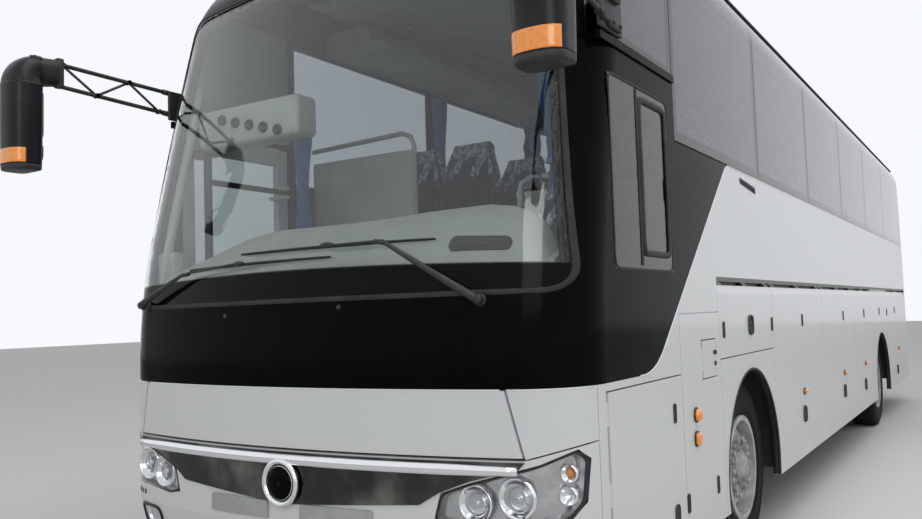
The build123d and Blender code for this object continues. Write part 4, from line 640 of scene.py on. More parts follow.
seat_cloth = fabric("seat_cloth", (0.050, 0.052, 0.070), (0.11, 0.12, 0.20), 14.0, 0.50, 0.66)
head_cloth = fabric("head_cloth", (0.20, 0.24, 0.38), (0.62, 0.66, 0.74), 34.0, 0.48, 0.53)
curtain_cloth = fabric("curtain_cloth", (0.075, 0.22, 0.55), (0.12, 0.31, 0.66), 6.0, 0.4, 0.7)
print("fabrics ready")

# %% [markdown]
# The CAD meshes keep their own shapes and only take a finish here.
# A table from finish to mesh names keeps that in one place.

# %% Finishes of the CAD meshes
def both(*names):
    return [f"{name}_{side}" for name in names for side in SIDES]


finishes = [
    (white_paint, both("arch_hatch", "engine_door", "side_panel", "luggage_door_front",
                       "luggage_door_middle", "luggage_door_rear")
     + ["service_door", "fuel_flap", "front_bumper", "front_corner_panels", "front_flap",
        "engine_lid", "rear_bumper", "rear_wall", "roof_ac", "entrance_door"]),
    (roof_paint, ["roof"]),
    (black_paint, both("side_wall") + ["front_mask"]),
    (smoked_glass, ["side_glass", "rear_window"]),
    (screen_glass, ["windscreen"]),
    (door_glass, ["entrance_glass"]),
    (smoked_chrome_painted_reflections, ["grille_bar"]),
    (lens_glass, ["headlamps"]),
    (red_lens, ["tail_lamps"]),
    (mirror_plastic, both("mirror")),
    (grained_black, ["wipers", "roof_hatches", "wheel_arch_liners", "steering_wheel"]),
    (pale_plastic, ["dashboard"]),
    (frame_steel, both("knuckle") + ["chassis_frame", "front_axle", "rear_axle",
                                     "door_arms", "flap_arms"]),
    (engine_iron, ["engine"]),
    (floor_vinyl, ["cabin_floor"]),
    (tyre_paints[0], both("tyre_front")),
    (tyre_paints[1], both("tyres_rear")),
    (wheel_paints[0], both("rim_front")),
    (wheel_paints[1], both("rims_rear")),
    (seat_cloth, both("seats") + ["driver_seat"]),
]
finished = set()
for paint, names in finishes:
    for name in names:
        for slot in nodes[name].material_slots:
            slot.material = paint.material
        finished.add(name)
print("without a finish:", sorted(set(nodes) - finished))

# %% [markdown]
# Lamps, seals and wipers have to follow the coach's double-curved nose.
# In plan the nose is a wide arc with tight corners, and above the bumper the arc's radius shrinks
# as the windscreen leans back. One function gives the skin for any width and height,
# and every piece on the front is laid out flat and then dropped onto it.

# %% The curved nose
ARC_X = 1.210
SIDE_Y = 1.275
CORNER_R = 0.320


def nose_reach(z):
    """Radius of the plan arc at a height."""
    if z < 0.620:
        return 4.540 + (z - 0.374) * 0.060 / 0.246
    if z < 1.250:
        return 4.600
    if z < 1.976:
        return 1.600 + sqrt(9.0 - (z - 1.250) ** 2)
    return 4.511 - (z - 1.976) * 0.2493


def nose_x(y, z):
    """How far forward the skin is at a width and height."""
    reach = nose_reach(z)
    corner_y = SIDE_Y - CORNER_R
    corner_x = ARC_X + sqrt((reach - CORNER_R) ** 2 - corner_y ** 2)
    y = min(abs(y), SIDE_Y - 0.0001)
    if y <= reach * corner_y / (reach - CORNER_R):
        return ARC_X + sqrt(reach * reach - y * y)
    return corner_x + sqrt(max(0.0, CORNER_R ** 2 - (y - corner_y) ** 2))


def nose_point(y, z, depth=0.0):
    """A point on the skin, moved straight back into the coach by depth."""
    return Vector((nose_x(y, z) - depth, y, z))


def nose_normal(y, z):
    step = 0.002
    across = nose_point(y + step, z) - nose_point(y - step, z)
    upward = nose_point(y, z + step) - nose_point(y, z - step)
    return across.cross(upward).normalized()


def nose_shell(y, z, depth=0.0):
    """A point moved in along the skin's own normal."""
    return nose_point(y, z) - nose_normal(y, z) * depth


def side_shell(sign):
    """The same for the flat side: x and z along it, and depth inward."""
    return lambda x, z, depth=0.0: Vector((x, sign * (SIDE_Y - depth), z))


def soft_corners(points, radius, steps=5):
    """A flat outline with its corners rounded."""
    made = []
    n = len(points)
    for i in range(n):
        here = Vector(points[i])
        to_last = Vector(points[i - 1]) - here
        to_next = Vector(points[(i + 1) % n]) - here
        r = min(radius, 0.45 * to_last.length, 0.45 * to_next.length)
        start, end = here + to_last.normalized() * r, here + to_next.normalized() * r
        for k in range(steps + 1):
            t = k / steps
            made.append(start * (1 - t) ** 2 + here * 2 * t * (1 - t) + end * t * t)
    return [tuple(p) for p in made]


def soft_box(low_u, low_v, high_u, high_v, radius, steps=5):
    """A rectangle with its corners rounded."""
    return soft_corners([(low_u, low_v), (high_u, low_v), (high_u, high_v), (low_u, high_v)],
                        radius, steps)


def patch(outline, outer, inner, shell=nose_shell, step=0.04):
    """A flat outline dropped onto a curved shell, as a plate between two depths."""
    bm = bmesh.new()
    bm.faces.new([bm.verts.new((u, v, 0)) for u, v in outline])
    for axis in (0, 1):
        low = min(p[axis] for p in outline)
        high = max(p[axis] for p in outline)
        normal = (1, 0, 0) if axis == 0 else (0, 1, 0)
        for k in range(1, int((high - low) / step) + 1):
            at = low + (high - low) * k / (int((high - low) / step) + 1)
            bmesh.ops.bisect_plane(
                bm, geom=bm.verts[:] + bm.edges[:] + bm.faces[:], dist=1e-6,
                plane_co=Vector(normal) * at, plane_no=normal,
            )
    bm.verts.index_update()
    flat = [v.co.copy() for v in bm.verts]
    n = len(flat)
    points = [shell(p.x, p.y, depth) for depth in (outer, inner) for p in flat]
    faces = []
    for face in bm.faces:
        ring = [v.index for v in face.verts]
        faces.append(ring)
        faces.append([i + n for i in reversed(ring)])
    for edge in bm.edges:
        if len(edge.link_faces) == 1:
            a, b = (v.index for v in edge.verts)
            faces.append((a, b, b + n, a + n))
    bm.free()
    mesh = mesh_of("patch", points, faces)
    mesh.set_sharp_from_angle(angle=radians(40))
    return mesh


def ring_of(outline, grow):
    """An outline moved outward, or inward where grow is negative."""
    n = len(outline)
    area = sum(outline[i - 1][0] * outline[i][1] - outline[i][0] * outline[i - 1][1]
               for i in range(n))
    sign = 1 if area > 0 else -1
    made = []
    for i in range(n):
        before, after = Vector(outline[i - 1]), Vector(outline[(i + 1) % n])
        along = (after - before).normalized()
        made.append((outline[i][0] + sign * along.y * grow, outline[i][1] - sign * along.x * grow))
    return made


def stack(outline, stations, shell=nose_shell):
    """Rings round an outline; each station gives one as grow and depth."""
    return [[shell(u, v, depth) for u, v in ring_of(outline, grow)] for grow, depth in stations]


def band(outline, stations, shell=nose_shell):
    """A seal or frame round an outline, its section given by stations."""
    rings = stack(outline, stations, shell)
    return loft(rings + rings[:1], caps=False)


print("nose reaches", round(nose_x(0, 0.9), 3), "and its corner", round(nose_x(1.2, 0.9), 3))

# %% [markdown]
# A headlamp is a deep bright tray behind a clear moulded cover.
# In it sit two round reflector bowls with chromed bezels, and small bowls for the
# indicator and the marker. The tray, bowls and cover are separate shells, as in the real lamp,
# so light gets in through the cover and comes back from the bowls.

# %% Headlamps
LAMP = [(0.715, 0.700), (0.745, 0.805), (0.862, 0.847), (1.120, 0.918), (1.225, 0.965),
        (1.250, 0.930), (1.240, 0.775), (1.200, 0.715), (0.800, 0.685)]
MAIN_BOWLS = [(0.872, 0.772, 0.066), (1.030, 0.796, 0.070)]
SMALL_BOWLS = [(1.196, 0.882, 0.030), (1.192, 0.802, 0.032)]


def behind_skin(profile, y, z, depth, steps):
    """A turned part whose front stands some way behind the skin."""
    return lathe(profile, (nose_x(y, z) - depth, y, z), "X", steps)


def bowl(y, z, radius, depth, front_depth, steps=40):
    """A reflector bowl."""
    profile = [(radius * 1.10, 0.004), (radius * 1.16, -0.004), (radius * 1.12, -0.012)]
    profile += [(radius * sqrt(1 - t), -depth * t) for t in [k / 8 for k in range(9)]]
    inner = [(radius * 0.97 * sqrt(1 - t), 0.003 - (depth - 0.008) * t)
             for t in [k / 8 for k in range(8, -1, -1)]]
    profile += inner + [(radius * 1.04, 0.006)]
    return behind_skin([(max(r, 0.0004), h) for r, h in profile], y, z, front_depth, steps)


def bulb(y, z, radius, depth, front_depth):
    """The capped bulb in the middle of a bowl."""
    profile = [(0.0004, -0.2 * depth), (radius * 0.14, -0.25 * depth),
               (radius * 0.2, -0.45 * depth), (radius * 0.2, -0.9 * depth),
               (0.0004, -0.9 * depth)]
    return behind_skin(profile, y, z, front_depth, 20)


def lens_over(y, z, radius, front_depth):
    """The thick round lens of a projector lamp."""
    n = 8
    profile = [(radius * sin(pi / 2 * k / n), 0.35 * radius * cos(pi / 2 * k / n))
               for k in range(n + 1)]
    profile += [(radius, -0.010), (0.0004, -0.010)]
    profile[0] = (0.0004, profile[0][1])
    return behind_skin(profile, y, z, front_depth, 36)


tray_grey = finish("tray_grey", ((0.46, 0.46, 0.47), (0.60, 0.60, 0.61)), (12.0, 3.0),
                   (0.20, 0.08), 12.0, metal=0.9)
outline = soft_corners(LAMP, 0.03)
tray = loft(stack(outline, ((-0.003, 0.003), (-0.004, 0.012), (-0.010, 0.020),
                            (-0.016, 0.036))), caps=False)
back = patch(ring_of(outline, -0.012), 0.036, 0.039)
bowls = [bowl(y, z, r, 0.052, 0.016) for y, z, r in MAIN_BOWLS]
bowls += [bowl(y, z, r, 0.03, 0.016, 28) for y, z, r in SMALL_BOWLS]
bulbs = [bulb(y, z, r, 0.05, 0.016) for y, z, r in MAIN_BOWLS]
lenses = [lens_over(y, z, 0.6 * r, 0.03) for y, z, r in MAIN_BOWLS]
lamp_seal = band(outline, [(0.002, -0.001), (-0.004, -0.002), (-0.008, 0.004), (0.002, 0.006)])
lamp_cover = patch(ring_of(outline, -0.002), 0.0, 0.004, step=0.02)
indicator = lens_over(*SMALL_BOWLS[0][:2], 0.013, 0.024)
for name, slot, paint, mesh in (
    ("tray", "chrome_trim", tray_grey, joined("tray", [tray, back])),
    ("seal", "black_rubber", rubber, lamp_seal),
    ("bowls", "chrome_trim", chrome, joined("bowls", bowls)),
    ("bulbs", "chrome_trim", reflector, joined("bulbs", bulbs)),
    ("lenses", "lamp_glass", lens_glass, joined("lenses", lenses)),
    ("indicator", "lamp_glass", amber, indicator),
):
    pair(f"headlamp_{name}", "coach", paint, mesh)
for made in pair("headlamp_cover", "coach", lens_glass, lamp_cover):
    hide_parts("headlamps")
print("headlamps ready")

# %% [markdown]
# Along the top of the bright bar runs a rounded brow, and below its middle are two flat
# grey pads for a plate. The round boss in the middle is left as a plain dome in a ring.

# %% Bright bar brow, boss and pads
BROW_Z, BROW_HALF = 0.899, 0.023
BOSS_Z = 0.804


def brow_section(y):
    """Points of the brow's section at one width; it grows narrow beyond 0.8 m."""
    middle, half = BROW_Z, BROW_HALF * (1 - max(0.0, abs(y) - 0.8))
    ring = []
    for k in range(17):
        a = pi * k / 16
        ring.append(nose_shell(y, middle + half * cos(a), -0.008 - 0.018 * sin(a) ** 0.8))
    ring.append(nose_shell(y, middle - half, -0.002))
    ring.append(nose_shell(y, middle + half, -0.002))
    return ring


brow = loft([brow_section(-1.045 + 2.09 * k / 48) for k in range(49)])
piece("bar_brow", "coach", chrome, brow)

boss_at = (nose_x(0, BOSS_Z) + 0.026, 0, BOSS_Z)
boss = lathe([
    (0.0004, 0.010), (0.030, 0.009), (0.058, 0.005), (0.070, 0.000), (0.074, -0.004),
    (0.078, 0.002), (0.084, 0.008), (0.092, 0.008), (0.099, 0.002), (0.101, -0.008),
    (0.0004, -0.008)], boss_at, "X", 72)
piece("boss_ring", "coach", chrome, boss)
dish = lathe([(0.0004, 0.014), (0.022, 0.0132), (0.044, 0.0105), (0.062, 0.006),
              (0.0685, 0.0012), (0.0004, 0.0012)], boss_at, "X", 64)
piece("boss_dome", "coach", black_paint, dish)

pad_grey = finish("pad_grey", ((0.34, 0.35, 0.35), (0.42, 0.43, 0.43)), (8.0, 3.0),
                  (0.4, 0.15), 30.0, grain=(500.0, 2.0, 0.15, 0.0004))
for name, low, high in (("right", -0.45, -0.09), ("left", 0.09, 0.45)):
    pad = patch(soft_box(low, 0.648, high, 0.722, 0.012), -0.010, -0.002)
    piece(f"plate_pad_{name}", "coach", pad_grey, pad)
print("bright bar ready")

# %% [markdown]
# Low on each corner the bumper has a row of small cooling slots and a fog lamp in a dark recess.

# %% Bumper slots, fog lamps and towing cover
slots = [patch(soft_box(y, 0.648, y + 0.016, 0.672, 0.006), -0.0015, 0.004, step=0.02)
         for y in [1.035 + 0.034 * k for k in range(5)]]
fog = soft_corners([(0.90, 0.505), (1.07, 0.515), (1.08, 0.600), (0.91, 0.592)], 0.03)
fog_ring = [(0.012, -0.001), (0.010, -0.007), (0.0, -0.008), (-0.006, 0.012), (0.0, 0.014)]
tow = soft_box(0.50, 0.43, 0.62, 0.53, 0.02)
tow_ring = [(0.003, -0.0008), (-0.003, -0.0012), (-0.003, 0.003), (0.003, 0.003)]
for name, slot, paint, mesh in (
    ("bumper_slots", "dark_plastic", grained_black, joined("slots", slots)),
    ("fog_bezel", "mirror_plastic", mirror_plastic, band(fog, fog_ring)),
    ("fog_recess", "dark_plastic", grained_black, patch(fog, 0.012, 0.018, step=0.03)),
    ("fog_bowl", "chrome_trim", chrome, bowl(0.985, 0.554, 0.036, 0.030, 0.006, 32)),
    ("fog_cover", "lamp_glass", lens_glass, patch(ring_of(fog, -0.004), 0.0, 0.004, step=0.03)),
    ("tow_cover_gap", "black_rubber", rubber, band(tow, tow_ring)),
):
    pair(name, "coach", paint, mesh)
print("bumper details ready")

# %% [markdown]
# The windscreen is bonded, so all that shows of its fixing is a thin rubber lip round the edge.

# %% Windscreen seal
SCREEN = [(-1.240, 1.555), (1.240, 1.555), (1.090, 3.120), (-1.090, 3.120)]


def finer(outline, step=0.08):
    """The outline with points added along its straight runs."""
    made = []
    for i, here in enumerate(outline):
        last = outline[i - 1]
        gap = hypot(here[0] - last[0], here[1] - last[1])
        n = max(1, ceil(gap / step))
        made += [(last[0] + (here[0] - last[0]) * k / n, last[1] + (here[1] - last[1]) * k / n)
                 for k in range(1, n + 1)]
    return made


screen_outline = finer(soft_corners(SCREEN, 0.11, 8))


seal = band(screen_outline,
            [(0.010, -0.0005), (0.006, -0.004), (-0.006, -0.004), (-0.011, -0.0005)])
piece("screen_seal", "coach", rubber, seal)
print("windscreen seal ready")

# %% [markdown]
# A coach tyre is turned from one profile: bead, sidewall, shoulder and a tread with
# four grooves round it. Only the shoulder's short cross cuts break that roundness, so the mesh
# is turned in many narrow steps and the cuts are steps that drop a few millimetres.

# %% Tyres
TYRE_R = 0.515
SHOULDER_CUT = 0.007
TYRE_SIDE = [
    (0.2875, 0.104), (0.2890, 0.112), (0.2980, 0.118), (0.3060, 0.1225), (0.3090, 0.1262),
    (0.3140, 0.1270), (0.3500, 0.1395), (0.3560, 0.1425), (0.3600, 0.1425), (0.3640, 0.1405),
    (0.4050, 0.1430), (0.4400, 0.1422), (0.4440, 0.1445), (0.4480, 0.1445), (0.4520, 0.1412),
    (0.4700, 0.1365), (0.4870, 0.1290),
]
TREAD_GROOVES = (0.074, 0.026)
GROOVE_HALF = 0.0055
GROOVE_DEPTH = 0.012


def tyre_profile():
    """Half the section from bead to the middle of the tread, then mirrored and closed."""
    half = [(r, h, 0) for r, h in TYRE_SIDE]
    half += [(0.5030, 0.1180, 1), (0.5095, 0.1080, 1), (0.5125, 0.1000, 1), (0.5135, 0.0950, 0)]
    for groove in TREAD_GROOVES:
        top = TYRE_R - 0.4 * groove ** 2
        half += [(top, groove + GROOVE_HALF, 0),
                 (top - GROOVE_DEPTH, groove + 0.6 * GROOVE_HALF, 0),
                 (top - GROOVE_DEPTH, groove - 0.6 * GROOVE_HALF, 0),
                 (top, groove - GROOVE_HALF, 0)]
    half.append((TYRE_R, 0.004, 0))
    inner = [(0.2960, 0.098, 0), (0.3300, 0.116, 0), (0.4300, 0.128, 0), (0.4850, 0.100, 0)]
    outer = half + [(r, -h, cut) for r, h, cut in reversed(half)]
    return outer + [(r, -h, c) for r, h, c in inner] + [(r, h, c) for r, h, c in reversed(inner)]


def tyre(centre, steps=192):
    """The profile turned about the axle, with every fourth step cut in at the shoulder."""
    profile = tyre_profile()
    centre = Vector(centre)
    rings = []
    for i, a in enumerate(turns(steps)):
        notch = SHOULDER_CUT if i % 4 == 0 else 0
        rings.append([centre + Vector(((r - notch * cut) * sin(a), h, (r - notch * cut) * cos(a)))
                      for r, h, cut in profile])
    mesh = loft(rings, loop=True)
    mesh.set_sharp_from_angle(angle=radians(38))
    return mesh


WHEELS = [("front", WHEEL_X[0], (1.055,)), ("rear", WHEEL_X[1], (1.055, 0.715))]
for n, (place, x, rows) in enumerate(WHEELS):
    cad = "tyre_front" if place == "front" else "tyres_rear"
    mesh = joined("tyres", [tyre((x, y, WHEEL_Z)) for y in rows])
    treads = pair(f"tread_{place}", f"wheel_{place}_SIDE", tyre_paints[n], mesh)
    for side, made in zip(SIDES, treads):
        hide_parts(f"{cad}_{side}")
print("tyres ready")

# %% [markdown]
# Ten nuts hold each wheel, and the hub stands through the disc with a cap over the bearing.
# Nuts are six-sided with a washer under them, so they are built as stacked rings of six corners.

# %% Wheel nuts, hub caps and valves
NUTS = 10
NUT_CIRCLE = 0.167


def hex_nut(centre, across=0.0165, high=0.026):
    """A nut on a washer, standing out along Y."""
    centre = Vector(centre)
    rings = []
    for size, rise, corners in (
            (1.35, 0.0, 24), (1.35, 0.004, 24), (1.0, 0.0042, 6), (1.0, high * 0.86, 6),
            (0.84, high, 6), (0.45, high, 6), (0.42, high * 1.35, 6), (0.2, high * 1.45, 6)):
        ring = []
        for a in turns(24):
            r = across * size
            if corners == 6:
                r = r / cos((a % (pi / 3)) - pi / 6)
            ring.append(centre + Vector((r * cos(a), rise, r * sin(a))))
        rings.append(ring)
    mesh = loft(rings)
    mesh.set_sharp_from_angle(angle=radians(30))
    return mesh


def hub_cap(centre, radius, high):
    profile = [(0.35, 0.99), (0.62, 0.93), (0.70, 0.80), (0.74, 0.55), (0.80, 0.5),
               (0.97, 0.44), (1.0, 0.38), (1.0, 0.0)]
    return lathe([(0.0004, high)] + [(radius * r, high * h) for r, h in profile]
                 + [(0.0004, 0.0)], centre, "Y", 48)


HUB_FACES = {"front": (1.055 + 0.102, 1.055 + 0.112), "rear": (0.885 + 0.015, 1.055 - 0.055)}
for n, (place, x, rows) in enumerate(WHEELS):
    nut_y, hub_y = HUB_FACES[place]
    cap_radius, cap_high = ((0.100, 0.048), (0.086, 0.09))[n]
    meshes = [hex_nut((x + NUT_CIRCLE * cos(a), nut_y, WHEEL_Z + NUT_CIRCLE * sin(a)))
              for a in turns(NUTS, 0.5)]
    r = cap_radius * 0.87
    meshes += [hex_nut((x + r * cos(a), hub_y + 0.016, WHEEL_Z + r * sin(a)), 0.006, 0.006)
               for a in turns(8)]
    meshes.append(hub_cap((x, hub_y - 0.004, WHEEL_Z), cap_radius, cap_high))
    valve = [(x + 0.205, nut_y - 0.01, WHEEL_Z), (x + 0.212, nut_y + 0.012, WHEEL_Z),
             (x + 0.222, nut_y + 0.022, WHEEL_Z)]
    meshes.append(tube(valve, 0.0045, 10))
    pair(f"wheel_fixings_{place}", f"wheel_{place}_SIDE", wheel_paints[n],
         joined("fixings", meshes))
print("wheel fixings ready")

# %% [markdown]
# A black rubber lip is pushed over the raw edge of each wheel arch.

# %% Arch lips
ARCH_R = 0.600
ARCH_Z = 0.500
SKIRT_Z = 0.374


def arch_path(x, y, radius=ARCH_R - 0.002, gap=0.002, steps=60):
    """From skirt to skirt over one arch, ending a gap above the skirt's edge."""
    low = asin((ARCH_Z - SKIRT_Z - gap) / ARCH_R)
    return [Vector((x + radius * cos(a), y, ARCH_Z + radius * sin(a)))
            for a in [-low + (pi + 2 * low) * k / steps for k in range(steps + 1)]]


for place, x, rows in WHEELS:
    pair(f"arch_lip_{place}", "coach", rubber,
         tube(arch_path(x, SIDE_Y - 0.004), 0.0085, 10))
print("arch lips ready")

# %% [markdown]
# The mirrors hang on braced tubes ahead of the nose, so that the driver sees them through
# the windscreen. The housing is a tall moulded shell: rounder in front, flat behind where
# the glass is, with an amber lamp wrapped round its foot and a black cap under that.
# At its top an elbow turns the same section through a right angle, back to where the tubes end.

# %% Mirror housings
HOUSING = Vector((6.110, 1.420, 2.545))
HOUSING_SIZE = Vector((0.150, 0.190, 0.610))
ELBOW = Vector((6.030, 1.420, 2.664))
ELBOW_END = Vector((5.950, 1.370, 2.672))


def housing_point(turn_angle, z, grow=0.0):
    """A point on the housing at a turn from straight ahead and a height."""
    t = (z - HOUSING.z) / (HOUSING_SIZE.z / 2)
    taper = 1 - 0.035 * (t - 0.2) ** 2
    round_off = 1.0
    if t < -0.93:
        round_off = 0.93 + 0.07 * sqrt(max(0.0, 1 - ((-t - 0.93) / 0.07) ** 2))
    c, s = cos(turn_angle), sin(turn_angle)
    deep = HOUSING_SIZE.x / 2 * taper * (round_off if c > 0 else 1.0)
    wide = HOUSING_SIZE.y / 2 * taper * (0.55 + 0.45 * round_off)
    power = 2.6 if c > 0 else 7.0
    size = (abs(c) ** power + abs(s) ** power) ** (-1 / power)
    return Vector((
        HOUSING.x + c * size * (deep + grow),
        HOUSING.y + s * size * (wide + grow),
        z,
    ))


def elbow_ring(turn, middle, deep, wide, steps=48):
    """The housing's section, turned about the elbow's inner corner."""
    ring = []
    for a in turns(steps, -steps / 2):
        c, s = cos(a), sin(a)
        power = 2.6 if c > 0 else 7.0 - 4.0 * (1 - turn / 90)
        size = (abs(c) ** power + abs(s) ** power) ** (-1 / power)
        out = 0.005 + deep * (1 + c * size)
        ring.append(Vector((middle.x + out * sin(radians(turn)), middle.y + s * size * wide,
                            middle.z + out * cos(radians(turn)))))
    return ring


def housing_band(low, high, rows, grow, start=-pi, end=pi, steps=48):
    """Part of the housing's skin, moved out by grow."""
    rings = []
    for k in range(rows + 1):
        z = low + (high - low) * k / rows
        rings.append([housing_point(start + (end - start) * i / steps, z, grow)
                      for i in range(steps + (0 if end - start > 6.2 else 1))])
    return rings


low_z, high_z = HOUSING.z - 0.305, ELBOW.z
shell_mesh = loft(housing_band(low_z + 0.024, high_z, 40, 0.0))
elbow_rings = [elbow_ring(90 - 7.5 * k, ELBOW, 0.0735, 0.0935 - 0.002 * k) for k in range(13)]
for k in range(1, 9):
    share = k / 8
    elbow_rings.append(elbow_ring(0, ELBOW.lerp(ELBOW_END, share),
                                  0.0735 - 0.006 * share, 0.0695 - 0.034 * share))
elbow_mesh = loft(elbow_rings)
elbow_mesh.set_sharp_from_angle(angle=radians(40))
housing_mesh = joined("housing", [shell_mesh, elbow_mesh])
cap_mesh = loft(housing_band(low_z, low_z + 0.0235, 5, 0.0))
amber_outer, amber_inner = (
    housing_band(low_z + 0.028, low_z + 0.098, 6, grow, -1.28, 1.02, 28)
    for grow in (0.0035, -0.002))
amber_rings = [amber_inner[0]] + amber_outer + [amber_inner[-1]]
amber_mesh = rounded(loft(amber_rings, close=False), 0.0015, 2)
bm = bmesh.new()
bm.from_mesh(amber_mesh)
bmesh.ops.holes_fill(bm, edges=[e for e in bm.edges if e.is_boundary], sides=0)
bmesh.ops.recalc_face_normals(bm, faces=bm.faces)
bm.to_mesh(amber_mesh)
bm.free()


def glass_plate(half, low, high):
    """A flat glass with rounded corners, facing back."""
    x = HOUSING.x - HOUSING_SIZE.x / 2 - 0.0005
    mesh = loft(stack(soft_box(HOUSING.y - half, low, HOUSING.y + half, high, 0.03, 8),
                      ((-0.006, 0.004), (0, 0.003), (0, 0.0), (-0.004, -0.0008)),
                      lambda y, z, dx: Vector((x + dx, y, z))))
    mesh.set_sharp_from_angle(angle=radians(30))
    return mesh


faces_mesh = joined("faces", [glass_plate(0.080, 2.395, 2.645), glass_plate(0.078, 2.285, 2.380)])
print("mirror housings shaped")

# %% [markdown]
# Two long tubes run from a plate on the pillar to the housing, with thin braces between them.
# Sleeves and clamp screws mark the joints, which is what makes tube work look real.

# %% Mirror arms
TUBES = [((5.150, 1.285, 2.630), (6.080, 1.380, 2.690), 0.011),
         ((5.150, 1.285, 2.750), (6.080, 1.380, 2.800), 0.011)]
BRACES = [((5.380, 1.309, 2.645), (5.560, 1.327, 2.772)),
          ((5.560, 1.327, 2.772), (5.740, 1.345, 2.668)),
          ((5.740, 1.345, 2.668), (5.920, 1.364, 2.791))]


def between(start, end, share):
    return Vector(start).lerp(Vector(end), share)


arm_meshes = []
for start, end, radius in TUBES:
    arm_meshes.append(tube([between(start, end, k / 12) for k in range(13)], radius, 20))
    for share, grow in ((0.20, 1.35), (0.965, 1.4)):
        path = [between(start, end, share + d) for d in (-0.022, -0.020, 0.020, 0.022)]
        arm_meshes.append(tube(path, [radius, radius * grow, radius * grow, radius], 20))
for start, end in BRACES:
    arm_meshes.append(tube([between(start, end, k / 4) for k in range(5)], 0.007, 12))
    for at in (start, end):
        arm_meshes.append(lathe([(0.0004, -0.016), (0.012, -0.016), (0.013, -0.012), (0.013, 0.012),
                                 (0.012, 0.016), (0.0004, 0.016)], at, "Y", 16))
arm_meshes.append(block((5.105, 1.2755, 2.603), (5.335, 1.294, 2.767), 0.007))
for z in (2.630, 2.750):
    arm_meshes.append(block((5.150, 1.288, z - 0.020), (5.270, 1.3135, z + 0.020), 0.008))
    for x in (5.175, 5.245):
        arm_meshes.append(hex_nut((x, 1.3125, z), 0.007, 0.007))
arm_meshes.append(block((5.918, 1.346, 2.670), (5.956, 1.388, 2.822), 0.009))
arms_mesh = joined("arms", arm_meshes)
housings = pair("mirror_housing", "coach", mirror_plastic, housing_mesh)
for side, made in zip(SIDES, housings):
    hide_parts(f"mirror_{side}")
pair("mirror_cap", "coach", grained_black, cap_mesh)
pair("mirror_lamp", "coach", amber, amber_mesh)
pair("mirror_glass", "coach", mirror_face, faces_mesh)
pair("mirror_arms", "coach", grained_black, arms_mesh)
print("mirrors ready")

# %% [markdown]
# Each wiper is a cast arm that tapers from its pivot, a thin rod beyond the elbow,
# and a blade whose yokes press the rubber onto the glass at several points.
# Both arms follow the windscreen's curve a hand's breadth off it.

# %% Wipers
WIPERS = [
    ("left", (0.920, 1.527), (0.516, 1.767), (0.250, 1.764), (-0.268, 1.768), (0.731, 1.768)),
    ("right", (-1.020, 1.565), (-0.640, 1.695), (-0.250, 1.722), (-0.640, 1.718), (0.250, 1.726)),
]


def over_glass(a, b, gap_a, gap_b, steps):
    """Points between two places on the front, each held off the skin."""
    made = []
    for k in range(steps + 1):
        t = k / steps
        y, z = a[0] + (b[0] - a[0]) * t, a[1] + (b[1] - a[1]) * t
        made.append(nose_shell(y, z, -(gap_a + (gap_b - gap_a) * t)))
    return made


wiper_meshes, rubber_meshes = [], []
for side, pivot, elbow, carrier, start, end in WIPERS:
    foot = nose_point(*pivot)
    out = nose_normal(*pivot)
    wiper_meshes.append(tube([foot + out * d for d in (-0.004, 0.012, 0.014, 0.030, 0.050, 0.054)],
                             [0.026, 0.024, 0.019, 0.019, 0.017, 0.006], 24))
    arm = over_glass(pivot, elbow, 0.045, 0.048, 16)
    wiper_meshes.append(tube(arm, [0.017 - 0.009 * k / 16 for k in range(17)], 14))
    wiper_meshes.append(tube(over_glass(elbow, carrier, 0.048, 0.045, 12), 0.0055, 12))
    wiper_meshes.append(tube(over_glass(
        (elbow[0] + (pivot[0] - elbow[0]) * 0.04, elbow[1] + (pivot[1] - elbow[1]) * 0.04),
        (elbow[0] - (elbow[0] - carrier[0]) * 0.12, elbow[1]), 0.048, 0.048, 4), 0.0095, 14))

    def on_blade(share):
        return (start[0] + (end[0] - start[0]) * share, start[1] + (end[1] - start[1]) * share)

    middle = (carrier[0] - start[0]) / (end[0] - start[0])
    wiper_meshes.append(tube(over_glass(on_blade(middle - 0.035), on_blade(middle + 0.035),
                                        0.040, 0.040, 4), [0.006, 0.012, 0.013, 0.012, 0.006], 12))
    for low, high in ((0.04, 0.96), (0.01, 0.22), (0.78, 0.99), (0.27, 0.46), (0.54, 0.73)):
        main = high - low > 0.5
        path = over_glass(on_blade(low), on_blade(high), 0.020, 0.020, 12)
        lift = 0.012 if main else 0.006
        bowed = [p + nose_normal(p.y, p.z) * lift * sin(pi * k / 12) for k, p in enumerate(path)]
        wiper_meshes.append(tube(bowed, 0.0042 if main else 0.0032, 8))
    wedge = []
    for k in range(25):
        y, z = on_blade(k / 24)
        wedge.append([nose_shell(y, z + dz, -off) for dz, off in (
            (0.0045, 0.017), (0.0045, 0.012), (0.0008, 0.004), (-0.0008, 0.004),
            (-0.0045, 0.012), (-0.0045, 0.017))])
    rubber_meshes.append(loft(wedge))
made = piece("wiper_arms", "coach", grained_black, joined("wipers", wiper_meshes))
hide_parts("wipers")
piece("wiper_rubbers", "coach", rubber, joined("wiper_rubbers", rubber_meshes))
jets = []
for y, z in ((-0.36, 1.50), (0.30, 1.52)):
    foot, out = nose_point(y, z), nose_normal(y, z)
    jets.append(tube([foot + out * d for d in (-0.002, 0.003, 0.007, 0.009)],
                     [0.011, 0.011, 0.008, 0.003], 16))
piece("washer_jets", "coach", grained_black, joined("jets", jets))
print("wipers ready")

# %% [markdown]
# The side is full of small fittings that catch the eye: slotted locks at the door tops,
# oval twist locks lower down, amber side lamps and the filler flap's latch.
# Each lock is a rubber-rimmed cup pressed into the panel, with a bar across it to pull on.

